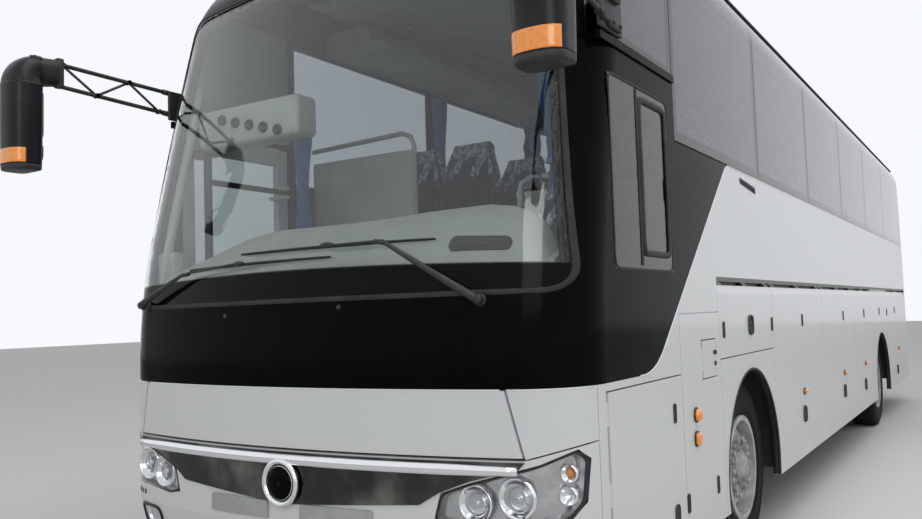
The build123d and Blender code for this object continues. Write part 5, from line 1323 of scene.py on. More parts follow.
# %% Locks and side lamps
def cup(outline, shell, proud=0.0022, lip=0.003):
    """A shallow dark cup with a raised rim, set into a flat panel."""
    mesh = loft(stack(outline, (
        (lip, 0.0010), (lip, -0.7 * proud), (lip * 0.7, -proud), (0.0, -proud),
        (-0.001, -0.0008), (-0.0015, 0.0002)), shell), caps=False)
    bottom = stack(outline, [(-0.001, -0.0004)], shell)[0]
    return joined("cup", [mesh, mesh_of("bottom", bottom, [range(len(bottom))])])


def slot_outline(x, z, wide, high):
    return soft_box(x - wide / 2, z - high / 2, x + wide / 2, z + high / 2,
                    min(wide, high) / 2 * 0.8)


def slot_lock(x, z, shell, high=0.084, wide=0.030):
    """A tall narrow finger slot with a spring flap in it."""
    meshes = [cup(slot_outline(x, z, wide, high), shell, 0.005)]
    for lift in (-0.28, 0.0, 0.28):
        bar = [shell(x + wide * 0.30 * d, z + high * lift, -0.0028) for d in (-1, 0, 1)]
        meshes.append(tube(bar, 0.0016, 8))
    return joined("slot_lock", meshes)


def oval_lock(x, z, shell, wide=0.086, high=0.106):
    """A thick oval bezel round a turning key barrel."""
    sign = -1 if shell(x, z).y < 0 else 1
    barrel = [(0.0004, 0.0090), (0.006, 0.0090), (0.0065, 0.0065), (0.017, 0.0065),
              (0.0190, 0.0040), (0.0200, -0.001), (0.0004, -0.001)]
    return joined("oval_lock", [
        cup(slot_outline(x, z, wide, high), shell, 0.011, 0.007),
        lathe([(r, sign * h) for r, h in barrel], shell(x, z), "Y", 28),
    ])


AXLE_X = 3.190
SLOT_LOCKS = {
    "coach": [(0.804, 0.564), (1.284, 0.563), (-6.03, 1.357), (-6.77, 1.334)],
    "arch_hatch": [(0.566, 1.347), (-0.555, 1.348)],
    "luggage_door_front": [(-1.53, 1.352)],
    "luggage_door_middle": [(-3.41, 1.352)],
    "luggage_door_rear": [(-4.76, 1.352)],
    "engine_door": [(-7.62, 1.352)],
}
OVAL_LOCKS = {
    "arch_hatch": [(-0.010, 1.358)],
    "luggage_door_front": [(-1.45, 0.67)],
    "luggage_door_middle": [(-3.27, 0.67)],
    "luggage_door_rear": [(-4.60, 0.62)],
    "engine_door": [(-7.62, 0.56)],
}
for side, sign in SIGNS:
    shell = side_shell(sign)
    for door, places in SLOT_LOCKS.items():
        body = "coach" if door == "coach" else f"{door}_{side}"
        meshes = [slot_lock(AXLE_X + x, z, shell) for x, z in places
                  if sign > 0 or x < 0.7]
        meshes += [oval_lock(AXLE_X + x, z, shell) for x, z in OVAL_LOCKS.get(door, [])]
        piece(f"locks_{door}_{side}", body, grained_black,
              joined("locks", meshes))
for name, body, places in (
    ("locks_service_door", "service_door",
     [(1.426, 0.995, 0.084, 0.030), (1.447, 0.546, 0.085, 0.060)]),
    ("fuel_flap_latch", "fuel_flap",
     [(0.752, 1.237, 0.016, 0.045), (0.752, 1.180, 0.018, 0.020)]),
):
    meshes = [slot_lock(AXLE_X + x, z, side_shell(1), high, wide) for x, z, high, wide in places]
    piece(name, body, grained_black, joined("locks", meshes))
print("locks ready")


def round_lamp(x, z, sign, radius=0.032):
    """A domed amber lamp on a black foot."""
    dome = [(0.35, 0.031), (0.65, 0.028), (0.85, 0.022), (0.95, 0.013), (0.95, -0.001)]
    dome = [(0.0004, 0.032)] + [(r * radius, h) for r, h in dome] + [(0.0004, -0.001)]
    foot = [(r * radius, h) for r, h in (
        (0.97, 0.008), (1.10, 0.008), (1.16, 0.005), (1.16, -0.001), (0.97, -0.001))]
    at = (AXLE_X + x, sign * SIDE_Y, z)
    return [lathe([(r, sign * h) for r, h in profile], at, "Y", 36) for profile in (dome, foot)]


def box_lamp(x, z, sign, wide=0.060, high=0.062):
    """A square amber lamp on a black foot."""
    lens = ((0, 0.001), (0, -0.016), (-0.003, -0.0215), (-0.012, -0.0235))
    foot = ((0, 0.001), (0, -0.006), (-0.003, -0.007), (-0.0055, -0.007))
    return [loft(stack(slot_outline(AXLE_X + x, z, wide + more, high + more), stations,
                       side_shell(sign))) for more, stations in ((0, lens), (0.012, foot))]


SIDE_LAMPS = {
    "coach": [("round", 1.116, 0.953), ("box", 1.120, 0.839)],
    "luggage_door_front": [("box", -1.49, 0.83)],
    "luggage_door_middle": [("box", -3.33, 0.83)],
    "luggage_door_rear": [("box", -4.70, 0.83)],
    "engine_door": [("box", -7.90, 0.83)],
}
for side, sign in SIGNS:
    for door, lamps in SIDE_LAMPS.items():
        body = "coach" if door == "coach" else f"{door}_{side}"
        lenses, feet = [], []
        for kind, x, z in lamps:
            if door == "coach" and sign < 0:
                x -= 0.42
            size = () if door == "coach" else (0.075, 0.034)
            lens, foot = (round_lamp if kind == "round" else box_lamp)(x, z, sign, *size)
            lenses.append(lens)
            feet.append(foot)
        piece(f"side_lamps_{door}_{side}", body, amber, joined("lenses", lenses))
        piece(f"side_lamp_feet_{door}_{side}", body, grained_black,
              joined("feet", feet))
print("side lamps ready")

# %% [markdown]
# The cut edge of each wheel arch is finished with a deep black strip,
# and the driver's side window has a rubber frame, a fixed front pane and a sliding rear one.

# %% Arch linings and driver's window
for place, x, rows in WHEELS:
    rings = [arch_path(x, SIDE_Y - y, ARCH_R - inset, 0.003, 72) for inset, y in (
        (0.0005, 0.003), (0.0005, 0.047), (0.003, 0.047), (0.003, 0.003))]
    pair(f"arch_edge_{place}", "coach", rubber,
         loft(rings + rings[:1], close=False))

CAB_REAR_X, CAB_FRONT_X = AXLE_X + 1.350, AXLE_X + 2.050
CAB_SILL_Z, CAB_HEAD_Z = 1.640, 2.440
window_line = soft_box(CAB_REAR_X, CAB_SILL_Z, CAB_FRONT_X, CAB_HEAD_Z, 0.05)
slider_line = soft_box(AXLE_X + 1.38, 1.70, AXLE_X + 1.735, 2.405, 0.06)
window_ring = [(0.006, -0.0005), (0.004, -0.003), (-0.004, -0.003), (-0.008, -0.0005)]
slider_ring = [(0.0, -0.0005), (-0.002, -0.009), (-0.026, -0.009), (-0.030, -0.0005)]
frame_meshes = [
    band(window_line, window_ring, side_shell(1)),
    band(slider_line, slider_ring, side_shell(1)),
    block((AXLE_X + 1.735, SIDE_Y - 0.002, 1.66), (AXLE_X + 1.757, SIDE_Y + 0.004, 2.43), 0.002),
]
piece("cab_window_frame_left", "coach", rubber, joined("frame", frame_meshes))
flush_pull = cup(slot_outline(AXLE_X + 1.40, 2.02, 0.018, 0.10), side_shell(1))
flush_pull.transform(Matrix.Translation((0, 0.009, 0)))
piece("cab_window_pull", "coach", grained_black, flush_pull)

louvre_line = [(AXLE_X - 0.30, 2.175), (AXLE_X + 0.06, 2.205), (AXLE_X + 0.07, 2.235),
               (AXLE_X - 0.29, 2.212)]
for side, sign in SIGNS:
    shell = side_shell(sign)
    meshes = [cup(soft_corners(louvre_line, 0.012), shell)]
    for k in range(8):
        x, z = AXLE_X - 0.27 + 0.042 * k, 2.193 + 0.0265 * (k / 7)
        meshes.append(tube([shell(x, z - 0.012, -0.002), shell(x + 0.008, z + 0.012, -0.002)],
                           0.0022, 8))
    piece(f"side_louvre_{side}", "coach", mirror_plastic, joined("louvre", meshes))
print("cab window and louvres ready")

# %% [markdown]
# Where the black corner meets the white side, the white panel ends in a folded edge,
# which catches the light as one thin bright line from the belt down to the front.
# The line is a tube laid along the panel's edge: two straight runs joined by two wide curves.
# Its paint is paler than the body white, a painted highlight added to the tube's own shine.

# %% Folded edge of the side panel
def filleted(points, radii, steps=16):
    """A path with each inner corner rounded to its own radius."""
    path = [Vector(points[0])]
    for i in range(1, len(points) - 1):
        corner = Vector(points[i])
        back = (Vector(points[i - 1]) - corner).normalized()
        on = (Vector(points[i + 1]) - corner).normalized()
        half = back.angle(on) / 2
        reach = radii[i - 1] / tan(half)
        centre = corner + (back + on).normalized() * radii[i - 1] / sin(half)
        start, end = corner + back * reach, corner + on * reach
        a, b = start - centre, end - centre
        turn = a.angle(b)
        for k in range(steps + 1):
            t = k / steps
            path.append(centre + (a * sin((1 - t) * turn) + b * sin(t * turn)) / sin(turn))
    path.append(Vector(points[-1]))
    return path


MASK_FOOT_Z, BELT_Z = 1.200, 2.275
wave_points = [(5.02, MASK_FOOT_Z - 0.005), (AXLE_X + 1.645, MASK_FOOT_Z - 0.005),
               (AXLE_X + 0.350, BELT_Z), (-5.95, BELT_Z)]
wave = filleted(wave_points, [0.420, 0.160], 24)
for side, sign in SIGNS:
    if sign < 0:
        wave = [p for p in wave if p.x < 4.40]
    path = [Vector((p.x, sign * (SIDE_Y - 0.0010), p.y)) for p in wave]
    piece(f"side_panel_edge_{side}", "coach", pale_highlight_white, tube(path, 0.0045, 8))
FOLD_Z = MASK_FOOT_Z - 0.0085
fold = [nose_point(-1.26 + 2.52 * k / 120, FOLD_Z, 0.0008) for k in range(121)]
flap_fold = [p for p in fold if abs(p.y) < 1.000]
piece("flap_edge", "front_flap", pale_highlight_white, tube(flap_fold, 0.0036, 8))
corner_folds = [tube([p for p in fold if sign * p.y > 1.022], 0.0036, 8) for sign in (-1, 1)]
piece("corner_edges", "coach", pale_highlight_white, joined("folds", corner_folds))
print("folded edges ready")

# %% [markdown]
# Behind the glass stands the cabin. Every seat has a foam cushion and a backrest under a woven
# cover, with a pale head cloth over its top.
# The foam starts as a plain pad and is blown up by a cloth simulation, which crowns it
# and pulls its sides in between the corners, as a tight cover does.

# %% Foam pads
SIT_STEPS = 20


def pad_form(outline, low, high):
    """A flat pad with rounded corners, drawn as an outline between two heights."""
    middle, half = (low + high) / 2, (high - low) / 2
    return loft(stack(soft_corners(outline, 0.05, 6), (
        (-0.022, -1.0), (-0.006, -0.8), (0.0, -0.4), (0.0, 0.4), (-0.006, 0.8), (-0.022, 1.0)),
        lambda u, v, share: Vector((u, v, middle + half * share))))


def swollen(name, mesh, cap=0.012):
    """Blows a pad up under its cover, by a cap at most, and smooths the result."""
    pad = bpy.data.objects.new(name, mesh)
    scene.collection.objects.link(pad)
    remesh = pad.modifiers.new("remesh", "REMESH")
    remesh.mode = "VOXEL"
    remesh.voxel_size = 0.008
    view = bpy.context.view_layer
    view.objects.active = pad
    pad.select_set(True)
    bpy.ops.object.modifier_apply(modifier="remesh")
    start = [v.co.copy() for v in pad.data.vertices]
    cloth = pad.modifiers.new("cloth", "CLOTH")
    cloth.settings.use_pressure = True
    cloth.settings.uniform_pressure_force = 4.0
    cloth.settings.effector_weights.gravity = 0.0
    cloth.settings.quality = 5
    cloth.collision_settings.use_collision = False
    cloth.point_cache.frame_start = 1
    cloth.point_cache.frame_end = SIT_STEPS
    for frame_number in range(1, SIT_STEPS + 1):
        scene.frame_set(frame_number)
    shape = pad.evaluated_get(bpy.context.evaluated_depsgraph_get()).to_mesh()
    moved = [v.co.copy() for v in shape.vertices]
    pad.modifiers.remove(cloth)
    for vertex, old, new in zip(pad.data.vertices, start, moved):
        step = new - old
        vertex.co = old + step * min(1.0, cap / max(step.length, 1e-6))
    scene.frame_set(1)
    smooth = pad.modifiers.new("smooth", "SMOOTH")
    smooth.iterations = 6
    smooth.factor = 0.6
    bpy.ops.object.modifier_apply(modifier="smooth")
    made = pad.data
    bpy.data.objects.remove(pad)
    made.shade_smooth()
    return made


def simpler(mesh, share):
    """The same mesh with fewer faces, for the rows that stand deep in the cabin."""
    pad = bpy.data.objects.new("simpler", mesh)
    scene.collection.objects.link(pad)
    fewer = pad.modifiers.new("fewer", "DECIMATE")
    fewer.ratio = share
    shape = pad.evaluated_get(bpy.context.evaluated_depsgraph_get())
    made = bpy.data.meshes.new_from_object(shape)
    bpy.data.objects.remove(pad)
    made.shade_smooth()
    return made


CUSHION_W, CUSHION_L = 0.425, 0.430
cushion = swollen("cushion", pad_form(
    [(-CUSHION_L, -CUSHION_W / 2), (-0.005, -CUSHION_W / 2), (-0.005, CUSHION_W / 2),
     (-CUSHION_L, CUSHION_W / 2)], 0.345, 0.430))
BACK_W, BACK_L = 0.420, 0.700
backrest = swollen("backrest", pad_form(
    [(0.0, -BACK_W / 2), (0.52, -BACK_W / 2), (0.60, -BACK_W / 2 + 0.035),
     (BACK_L, -BACK_W / 2 + 0.075), (BACK_L, BACK_W / 2 - 0.075), (0.60, BACK_W / 2 - 0.035),
     (0.52, BACK_W / 2), (0.0, BACK_W / 2)], -0.045, 0.035))
print("foam:", len(cushion.polygons), len(backrest.polygons), "faces")

# %% [markdown]
# A cover is sewn from panels, so seams are pressed into the foam after it has swollen:
# two lengthwise channels and a cross seam in the cushion, and a bolster line each side
# of the back.

# %% Seams in the covers
def channel(mesh, along, places, across, depth=0.006, width=0.010):
    """Presses a seam into a pad's upper face along one of its axes."""
    middle = sum(v.co.z for v in mesh.vertices) / len(mesh.vertices)
    for vertex in mesh.vertices:
        inside = across[0] < vertex.co[1 - along] < across[1]
        for place in places:
            away = abs(vertex.co[along] - place)
            if inside and vertex.co.z > middle and away < width * 2.5:
                vertex.co.z -= depth * exp(-(away / width) ** 2)


for vertex in cushion.vertices:
    rise = vertex.co.z - 0.345
    share = max(0.0, min(1.0, rise / 0.085))
    vertex.co.z = 0.345 + rise + 0.012 * share * cos(pi * vertex.co.y / CUSHION_W) * (
        1 if vertex.co.x > -0.36 else 0.6)
channel(cushion, 1, (-0.135, 0.135), (-0.40, -0.02))
channel(cushion, 0, (-0.10,), (-0.19, 0.19))
channel(backrest, 1, (-0.125, 0.125), (0.05, 0.56))
channel(backrest, 0, (0.22, 0.50), (-0.19, 0.19))
lean = atan2(0.21, 0.69)
stand = (Matrix.Translation((-0.455, 0, 0.415)) @ Matrix.Rotation(-pi / 2 - lean, 4, "Y"))
backrest.transform(stand)


def head_cover(wide=0.40, drop=0.30, steps=18):
    """A cloth pulled over the top of a backrest and hanging down front and back."""
    rings = []
    for i in range(steps + 1):
        v = -1 + 2 * i / steps
        path = []
        for k in range(29):
            t = k / 28
            if t < 0.45:
                along, off = BACK_L - drop * (1 - t / 0.45) + 0.01, 0.052
            elif t > 0.62:
                along, off = BACK_L - drop * 0.8 * (t - 0.62) / 0.38 + 0.01, -0.060
            else:
                turn = pi * (t - 0.45) / 0.17
                along = BACK_L + 0.012 + 0.035 * sin(turn)
                off = -0.004 + 0.056 * cos(turn)
            edge = 1 if abs(v) < 0.999 else 0.99
            ripple = 0.003 * sin(7 * v + 9 * t) + 0.0015 * sin(23 * v)
            side_half = wide / 2 - 0.075 * max(0.0, min(1.0, (along - 0.50) / 0.2))
            path.append(Vector((along, v * (side_half + 0.012) * edge, off + ripple)))
        rings.append(path)
    mesh = loft(rings, close=False)
    mesh.transform(stand)
    return mesh


head_cloth_mesh = head_cover()
print("covers ready")

# %% [markdown]
# The seats stand in twelve rows, a pair each side of the aisle.
# Each pair hangs on a painted steel frame with a leg, an aisle armrest and a moulded shell
# behind the backrests. The first row, which shows through the windscreen, keeps the fine foam.

# %% Seat rows
DECK_Z = 1.350
PODIUM_Z = DECK_Z + 0.180
ROW_FRONT_X, ROW_PITCH, ROWS = 4.000, 0.775, 12
PAIR_Y, PAIR_HALF = 0.735, 0.450
SEAT_OFFSETS = (-0.222, 0.222)
fine = (cushion.copy(), backrest.copy(), head_cloth_mesh.copy())
plain = (simpler(cushion, 0.10), simpler(backrest, 0.10), simpler(head_cloth_mesh.copy(), 0.6))


def placed(mesh, x, y, z):
    made = mesh.copy()
    made.transform(Matrix.Translation((x, y, z)))
    return made


def seat_frame(x, y, aisle):
    """The steel frame, legs and armrest of one pair."""
    meshes = []
    for rail in (-0.10, -0.36):
        meshes.append(block((x + rail - 0.015, y - PAIR_HALF + 0.02, PODIUM_Z + 0.300),
                            (x + rail + 0.015, y + PAIR_HALF - 0.02, PODIUM_Z + 0.335), 0.005))
    meshes.append(block((x - 0.315, y - 0.200, PODIUM_Z), (x - 0.265, y + 0.200, PODIUM_Z + 0.305),
                        0.008))
    arm_y = y - aisle * (PAIR_HALF - 0.014)
    meshes.append(tube([(x - 0.50, arm_y, PODIUM_Z + 0.42), (x - 0.50, arm_y, PODIUM_Z + 0.60),
                        (x - 0.46, arm_y, PODIUM_Z + 0.635), (x - 0.20, arm_y, PODIUM_Z + 0.645),
                        (x - 0.13, arm_y, PODIUM_Z + 0.640)],
                       [0.011, 0.013, 0.018, 0.019, 0.012], 10))
    return meshes


def seat_shell(x, y, z=PODIUM_Z):
    """The moulded shell behind one backrest."""
    rings = []
    for v in (-0.205, -0.19, -0.10, 0.0, 0.10, 0.19, 0.205):
        edge = 0.014 if abs(v) > 0.2 else 0.0
        ring = []
        for along, off in ((0.02, -0.045 + edge), (0.02, -0.060 + edge), (0.35, -0.064 + edge),
                           (0.62, -0.060 + edge), (0.66, -0.050 + edge), (0.66, -0.040)):
            taper = 1 - 0.35 * max(0.0, (along - 0.5) / 0.2)
            ring.append(Vector((along, v * taper, off)))
        rings.append(ring)
    mesh = loft(rings, close=True)
    mesh.transform(stand)
    mesh.transform(Matrix.Translation((x, y, z)))
    return mesh


for side, sign in SIGNS:
    foam, covers, shells, frames, first = [], [], [], [], []
    for row in range(ROWS):
        x = ROW_FRONT_X - row * ROW_PITCH
        for offset in SEAT_OFFSETS:
            y = sign * PAIR_Y + offset
            pads = [placed(mesh, x, y, PODIUM_Z) for mesh in (plain if row else fine)]
            (foam if row else first).extend(pads[:2])
            covers.append(pads[2])
            shells.append(seat_shell(x, y))
        frames += seat_frame(x, sign * PAIR_Y, sign)
    rows_piece = piece(f"seat_rows_{side}", "coach", seat_cloth,
                       joined("foam", foam))
    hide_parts(f"seats_{side}")
    front_piece = piece(f"front_seats_{side}", "coach", seat_cloth,
                        joined("foam", first))
    piece(f"head_covers_{side}", "coach", head_cloth, joined("covers", covers))
    piece(f"seat_shells_{side}", "coach", grained_black, joined("shells", shells))
    piece(f"seat_frames_{side}", "coach", frame_steel, joined("frames", frames))
print("seat rows ready")

CAB_FLOOR_Z = 1.040
DRIVER_X, DRIVER_Y = 4.950, 0.700
driver_pads = [placed(mesh, DRIVER_X, DRIVER_Y, CAB_FLOOR_Z) for mesh in fine]
driver = piece("driver_seat_foam", "coach", seat_cloth,
               joined("foam", driver_pads[:2]))
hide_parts("driver_seat")
base = [seat_shell(DRIVER_X, DRIVER_Y, CAB_FLOOR_Z)]
for k in range(5):
    z = CAB_FLOOR_Z + 0.045 + 0.048 * k
    base.append(block((DRIVER_X - 0.408, DRIVER_Y - 0.150, z),
                      (DRIVER_X - 0.14, DRIVER_Y + 0.150, z + 0.040), 0.016, 4))
base.append(block((DRIVER_X - 0.44, DRIVER_Y - 0.17, CAB_FLOOR_Z),
                  (DRIVER_X - 0.12, DRIVER_Y + 0.17, CAB_FLOOR_Z + 0.045), 0.006))
base.append(block((DRIVER_X - 0.43, DRIVER_Y - 0.19, CAB_FLOOR_Z + 0.290),
                  (DRIVER_X - 0.03, DRIVER_Y + 0.19, CAB_FLOOR_Z + 0.342), 0.010))
piece("driver_seat_base", "coach", grained_black, joined("base", base))
piece("driver_head_cover", "coach", head_cloth, driver_pads[2])
print("driver's seat ready")

# %% [markdown]
# Blue curtains hang from a rail at the window pillars and are tied back at mid height.
# A curtain keeps the width it was cut to, so where it is squeezed its folds only get deeper.
# The fold depth is therefore worked out at each height from the cloth's own width.

# %% Curtains
def fold_line(width, depth, folds, steps):
    """Points of one row of folds, as places along and across the rail."""
    return [(width * (k / steps - 0.5), depth * sin(2 * pi * folds * k / steps)
             * (0.85 + 0.15 * sin(5.1 * k / steps))) for k in range(steps + 1)]


def depth_for(width, cut, folds, steps):
    """The fold depth at which a row of folds is as long as the cloth is wide."""
    low, high = 0.0, 0.2
    for _ in range(24):
        middle = (low + high) / 2
        line = fold_line(width, middle, folds, steps)
        length = sum(hypot(b[0] - a[0], b[1] - a[1]) for a, b in zip(line, line[1:]))
        low, high = (middle, high) if length < cut else (low, middle)
    return middle


def curtain(cut, drop, top, tie, foot, folds=7, rows=26):
    """A curtain tied back at six tenths of its drop."""
    steps = folds * 12
    rings = []
    for j in range(rows + 1):
        t = j / rows
        if t < 0.6:
            width = tie + (top - tie) * (1 + cos(pi * t / 0.6)) / 2
        else:
            width = tie + (foot - tie) * (1 - cos(pi * (t - 0.6) / 0.4)) / 2
        line = fold_line(width, depth_for(width, cut, folds, steps), folds, steps)
        rings.append([Vector((x + 0.004 * sin(3 * t + 9 * x), y, -drop * t)) for x, y in line])
    return loft(rings, close=False)


def tie_band(tie, drop, deep):
    """The strap round the curtain's waist."""
    ring = [(0.5 * (tie + 0.012) * cos(a), deep * sin(a)) for a in turns(32)]
    rings = [[Vector((x * s, y * s, -0.6 * drop + z)) for x, y in ring]
             for z, s in ((0.016, 0.97), (0.014, 1.0), (-0.014, 1.0), (-0.016, 0.97))]
    return loft(rings, caps=False)


CUT = 0.80
HANGINGS = [(f"{side}_{k}", 4.436 - 1.65 * k, sign * 1.165, 0.0, 3.20, 0.86)
            for side, sign in SIGNS for k in range(1, 7)]
HANGINGS += [("door", 4.40, -1.155, 0.0, 2.74, 0.76), ("driver", 4.335, 0.580, 90.0, 2.76, 0.80)]
tie_depth = depth_for(0.055, CUT, 7, 84) + 0.004
for name, x, y, turn, top_z, drop in HANGINGS:
    place = Matrix.Translation((x, y, top_z)) @ Matrix.Rotation(radians(turn), 4, "Z")
    cloth = curtain(CUT, drop, 0.150, 0.055, 0.120)
    cloth.transform(place)
    made = piece(f"curtain_{name}", "coach", curtain_cloth, cloth)
    strap = tie_band(0.075, drop, tie_depth)
    strap.transform(place)
    piece(f"curtain_tie_{name}", "coach", curtain_cloth, strap)
print("curtains:", len(HANGINGS))

rails = [tube(path, 0.009, 10) for path in (
    [(4.36, -1.165, 3.215), (-5.60, -1.165, 3.215)],
    [(4.36, 1.165, 3.215), (-5.60, 1.165, 3.215)],
    [(4.335, 0.32, 2.775), (4.335, 1.215, 2.775)],
    [(4.28, -1.155, 2.755), (4.50, -1.155, 2.755)],
)]
piece("curtain_rails", "coach", frame_steel, joined("rails", rails))

# %% [markdown]
# Ahead of the passengers stand two screens with rails over them.
# The ceiling, the luggage racks and the panel over the entrance are moulded from pale sheet,
# and a console with round air outlets hangs over the windscreen's entrance side.

# %% Screens, racks and ceiling
def drawn(outline, x_low, x_high, width=0.004):
    """A profile in the cross-section of the coach, drawn out along it."""
    rings = [[Vector((x, y, z)) for y, z in outline] for x in (x_high, x_low)]
    return rounded(loft(rings), width, 2)


screens = [
    block((4.245, -1.185, DECK_Z), (4.270, -0.400, 2.480), 0.010, 4),
    block((4.205, 0.330, DECK_Z), (4.230, 1.190, 2.150), 0.010, 4),
]
piece("screens", "coach", pale_plastic, joined("screens", screens))
rail_tubes = [
    tube([(4.257, y, z) for y, z in ((-1.19, 2.560), (-0.47, 2.585), (-0.41, 2.560),
                                     (-0.385, 2.50), (-0.385, DECK_Z))], 0.015, 14),
    tube([(4.217, y, z) for y, z in ((1.19, 2.215), (0.37, 2.225), (0.315, 2.20),
                                     (0.300, 2.14), (0.300, DECK_Z))], 0.015, 14),
    tube([(nose_x(1.10, z) - 0.115, -1.10, z) for z in (1.62, 1.80, 2.0, 2.2, 2.4, 2.6, 2.75)],
         0.024, 16),
]
piece("cabin_rails", "coach", pale_plastic, joined("rails", rail_tubes))

rack = soft_corners([(1.195, 3.235), (1.195, 3.35), (1.12, 3.385), (0.86, 3.39), (0.80, 3.27),
                     (0.71, 3.255), (0.69, 3.225), (0.75, 3.210)], 0.015, 4)
lining = soft_corners([(-0.66, 3.430), (-0.60, 3.395), (0.60, 3.395), (0.66, 3.430)], 0.01, 3)
linings = [drawn(lining, -5.85, 4.60)]
for sign in (-1, 1):
    linings.append(drawn([(sign * y, z) for y, z in rack], -5.80, 4.10))
piece("racks_and_ceiling", "coach", pale_plastic, joined("linings", linings))
rings = []
for y in (-1.212, -1.200):
    front_edge = [(min(5.42, nose_x(y, z) - 0.060), z) for z in (2.57, 2.75, 2.93, 3.11, 3.26)]
    rings.append([Vector((x, y, z)) for x, z in [(4.47, 2.57)] + front_edge + [(4.47, 3.26)]])
over_door = rounded(loft(rings), 0.003, 2)
piece("panel_over_entrance", "coach", pale_plastic, over_door)

outlets = []
console = [block((5.14, -1.09, 2.405), (5.30, -0.36, 2.615), 0.030, 6)]
for k in range(5):
    y = -0.890 + 0.100 * k
    at = (5.302, y, 2.545 - 0.026 * k)
    outlets.append(lathe([(0.0004, 0.004), (0.012, 0.006), (0.014, 0.010), (0.024, 0.012),
                          (0.029, 0.006), (0.029, -0.004), (0.0004, -0.004)], at, "X", 28))
piece("front_console", "coach", pale_plastic, joined("console", console))
piece("console_outlets", "coach", mirror_plastic, joined("outlets", outlets))
print("linings ready")

# %% [markdown]
# A moulded cover stands on the dashboard: high over the dials, and low beside the door.
# It carries an air outlet in its slope, and the dials look back from it at the driver.
# A small box stands in the corner beside the door.

# %% Dashboard fittings
RIDGE = [(-1.120, 1.700), (-1.074, 1.757), (-0.900, 1.800), (-0.718, 1.850), (-0.554, 1.890),
         (-0.364, 1.910), (0.056, 1.907), (0.342, 1.912), (0.502, 1.921), (0.803, 1.925),
         (0.920, 1.908), (0.990, 1.880), (1.054, 1.835), (1.110, 1.720)]
COVER_BACK_X = 5.365
COVER_FOOT_Z = 1.650


def cover_point(y, share, top):
    """A point on the slope between the ridge and the glass."""
    ridge_x = min(COVER_BACK_X, nose_x(y, 1.800) - 0.160) + 0.045
    foot_x = min(5.720, nose_x(y, COVER_FOOT_Z) - 0.060)
    bulge = 0.10 * (top - COVER_FOOT_Z) * sin(pi * share)
    z = top + (COVER_FOOT_Z - top) * share + bulge
    return Vector((ridge_x + (foot_x - ridge_x) * share, y, z))


def ridge_height(y):
    for (ya, za), (yb, zb) in zip(RIDGE, RIDGE[1:]):
        if ya <= y <= yb:
            return za + (zb - za) * (y - ya) / (yb - ya)


sections = []
for y, top in RIDGE:
    slope = [cover_point(y, k / 12, top) for k in range(13)]
    back = slope[0].x - 0.045
    sections.append([Vector((x, y, z)) for x, z in (
        (back, 1.605), (back, top - 0.040), (back + 0.012, top - 0.012))] + slope + [
            Vector((slope[-1].x, y, 1.605))])
cover = rounded(loft(sections), 0.004, 2)
piece("dash_cover", "coach", pale_plastic, cover)
panel_line = soft_corners([(0.40, 1.780), (1.00, 1.780), (0.96, 1.865), (0.44, 1.865)], 0.03)
dials = [loft([[Vector((COVER_BACK_X - 0.004, y, z)) for y, z in panel_line],
               [Vector((COVER_BACK_X + 0.002, y, z)) for y, z in ring_of(panel_line, 0.004)]])]
for y, z, r in ((0.58, 1.822, 0.036), (0.82, 1.822, 0.036), (0.70, 1.838, 0.020),
                (0.70, 1.802, 0.015)):
    dials.append(lathe([(0.0004, -0.002), (r * 0.9, -0.002), (r, -0.006), (r * 1.06, -0.006),
                        (r * 1.08, 0.0), (0.0004, 0.0)], (COVER_BACK_X - 0.006, y, z), "X", 32))
piece("dials", "coach", grained_black, joined("dials", dials))

vent_rings = []
for grow, up in ((0.006, -0.004), (0.006, 0.009), (0.003, 0.013), (-0.003, 0.010)):
    vent_rings.append([
        cover_point(0.850 + v, 0.700 + u / 0.40, ridge_height(0.850 + v))
        + Vector((0.60 * up, 0, 0.80 * up))
        for u, v in ring_of(slot_outline(0.0, 0.0, 0.058, 0.250), grow)])
piece("dash_vent", "coach", grained_black, loft(vent_rings))

post_box = block((5.425, -1.175, 1.650), (5.500, -1.050, 1.845), 0.014, 4)
piece("post_box", "coach", pale_plastic, post_box)
print("dashboard fittings ready")

# %% [markdown]
# The tail is upright up to the lamps and then leans forward in one large arc.
# Its lamps are stacked round lenses in a black tray, the engine lid has slats that let
# hot air out, and a rubber seal runs round the rear window.

# %% Rear lamps and window seal
TAIL_X, TAIL_BEND_Z, TAIL_R = -6.190, 1.750, 6.893


def tail_shell(y, z, depth=0.0):
    """A point on the tail's skin, or inside it by a depth."""
    if z <= TAIL_BEND_Z:
        return Vector((TAIL_X + depth, y, z))
    centre = Vector((TAIL_X + TAIL_R, y, TAIL_BEND_Z))
    reach = TAIL_R - depth
    angle = asin(min(0.999, (z - TAIL_BEND_Z) / TAIL_R))
    return centre + Vector((-reach * cos(angle), 0, reach * sin(angle)))


seal_ring = [(0.022, -0.0005), (0.018, -0.006), (-0.010, -0.006), (-0.016, 0.0)]
piece("rear_window_seal", "coach", rubber,
      band(soft_box(-0.950, 2.260, 0.950, 3.020, 0.13, 8), seal_ring, tail_shell))

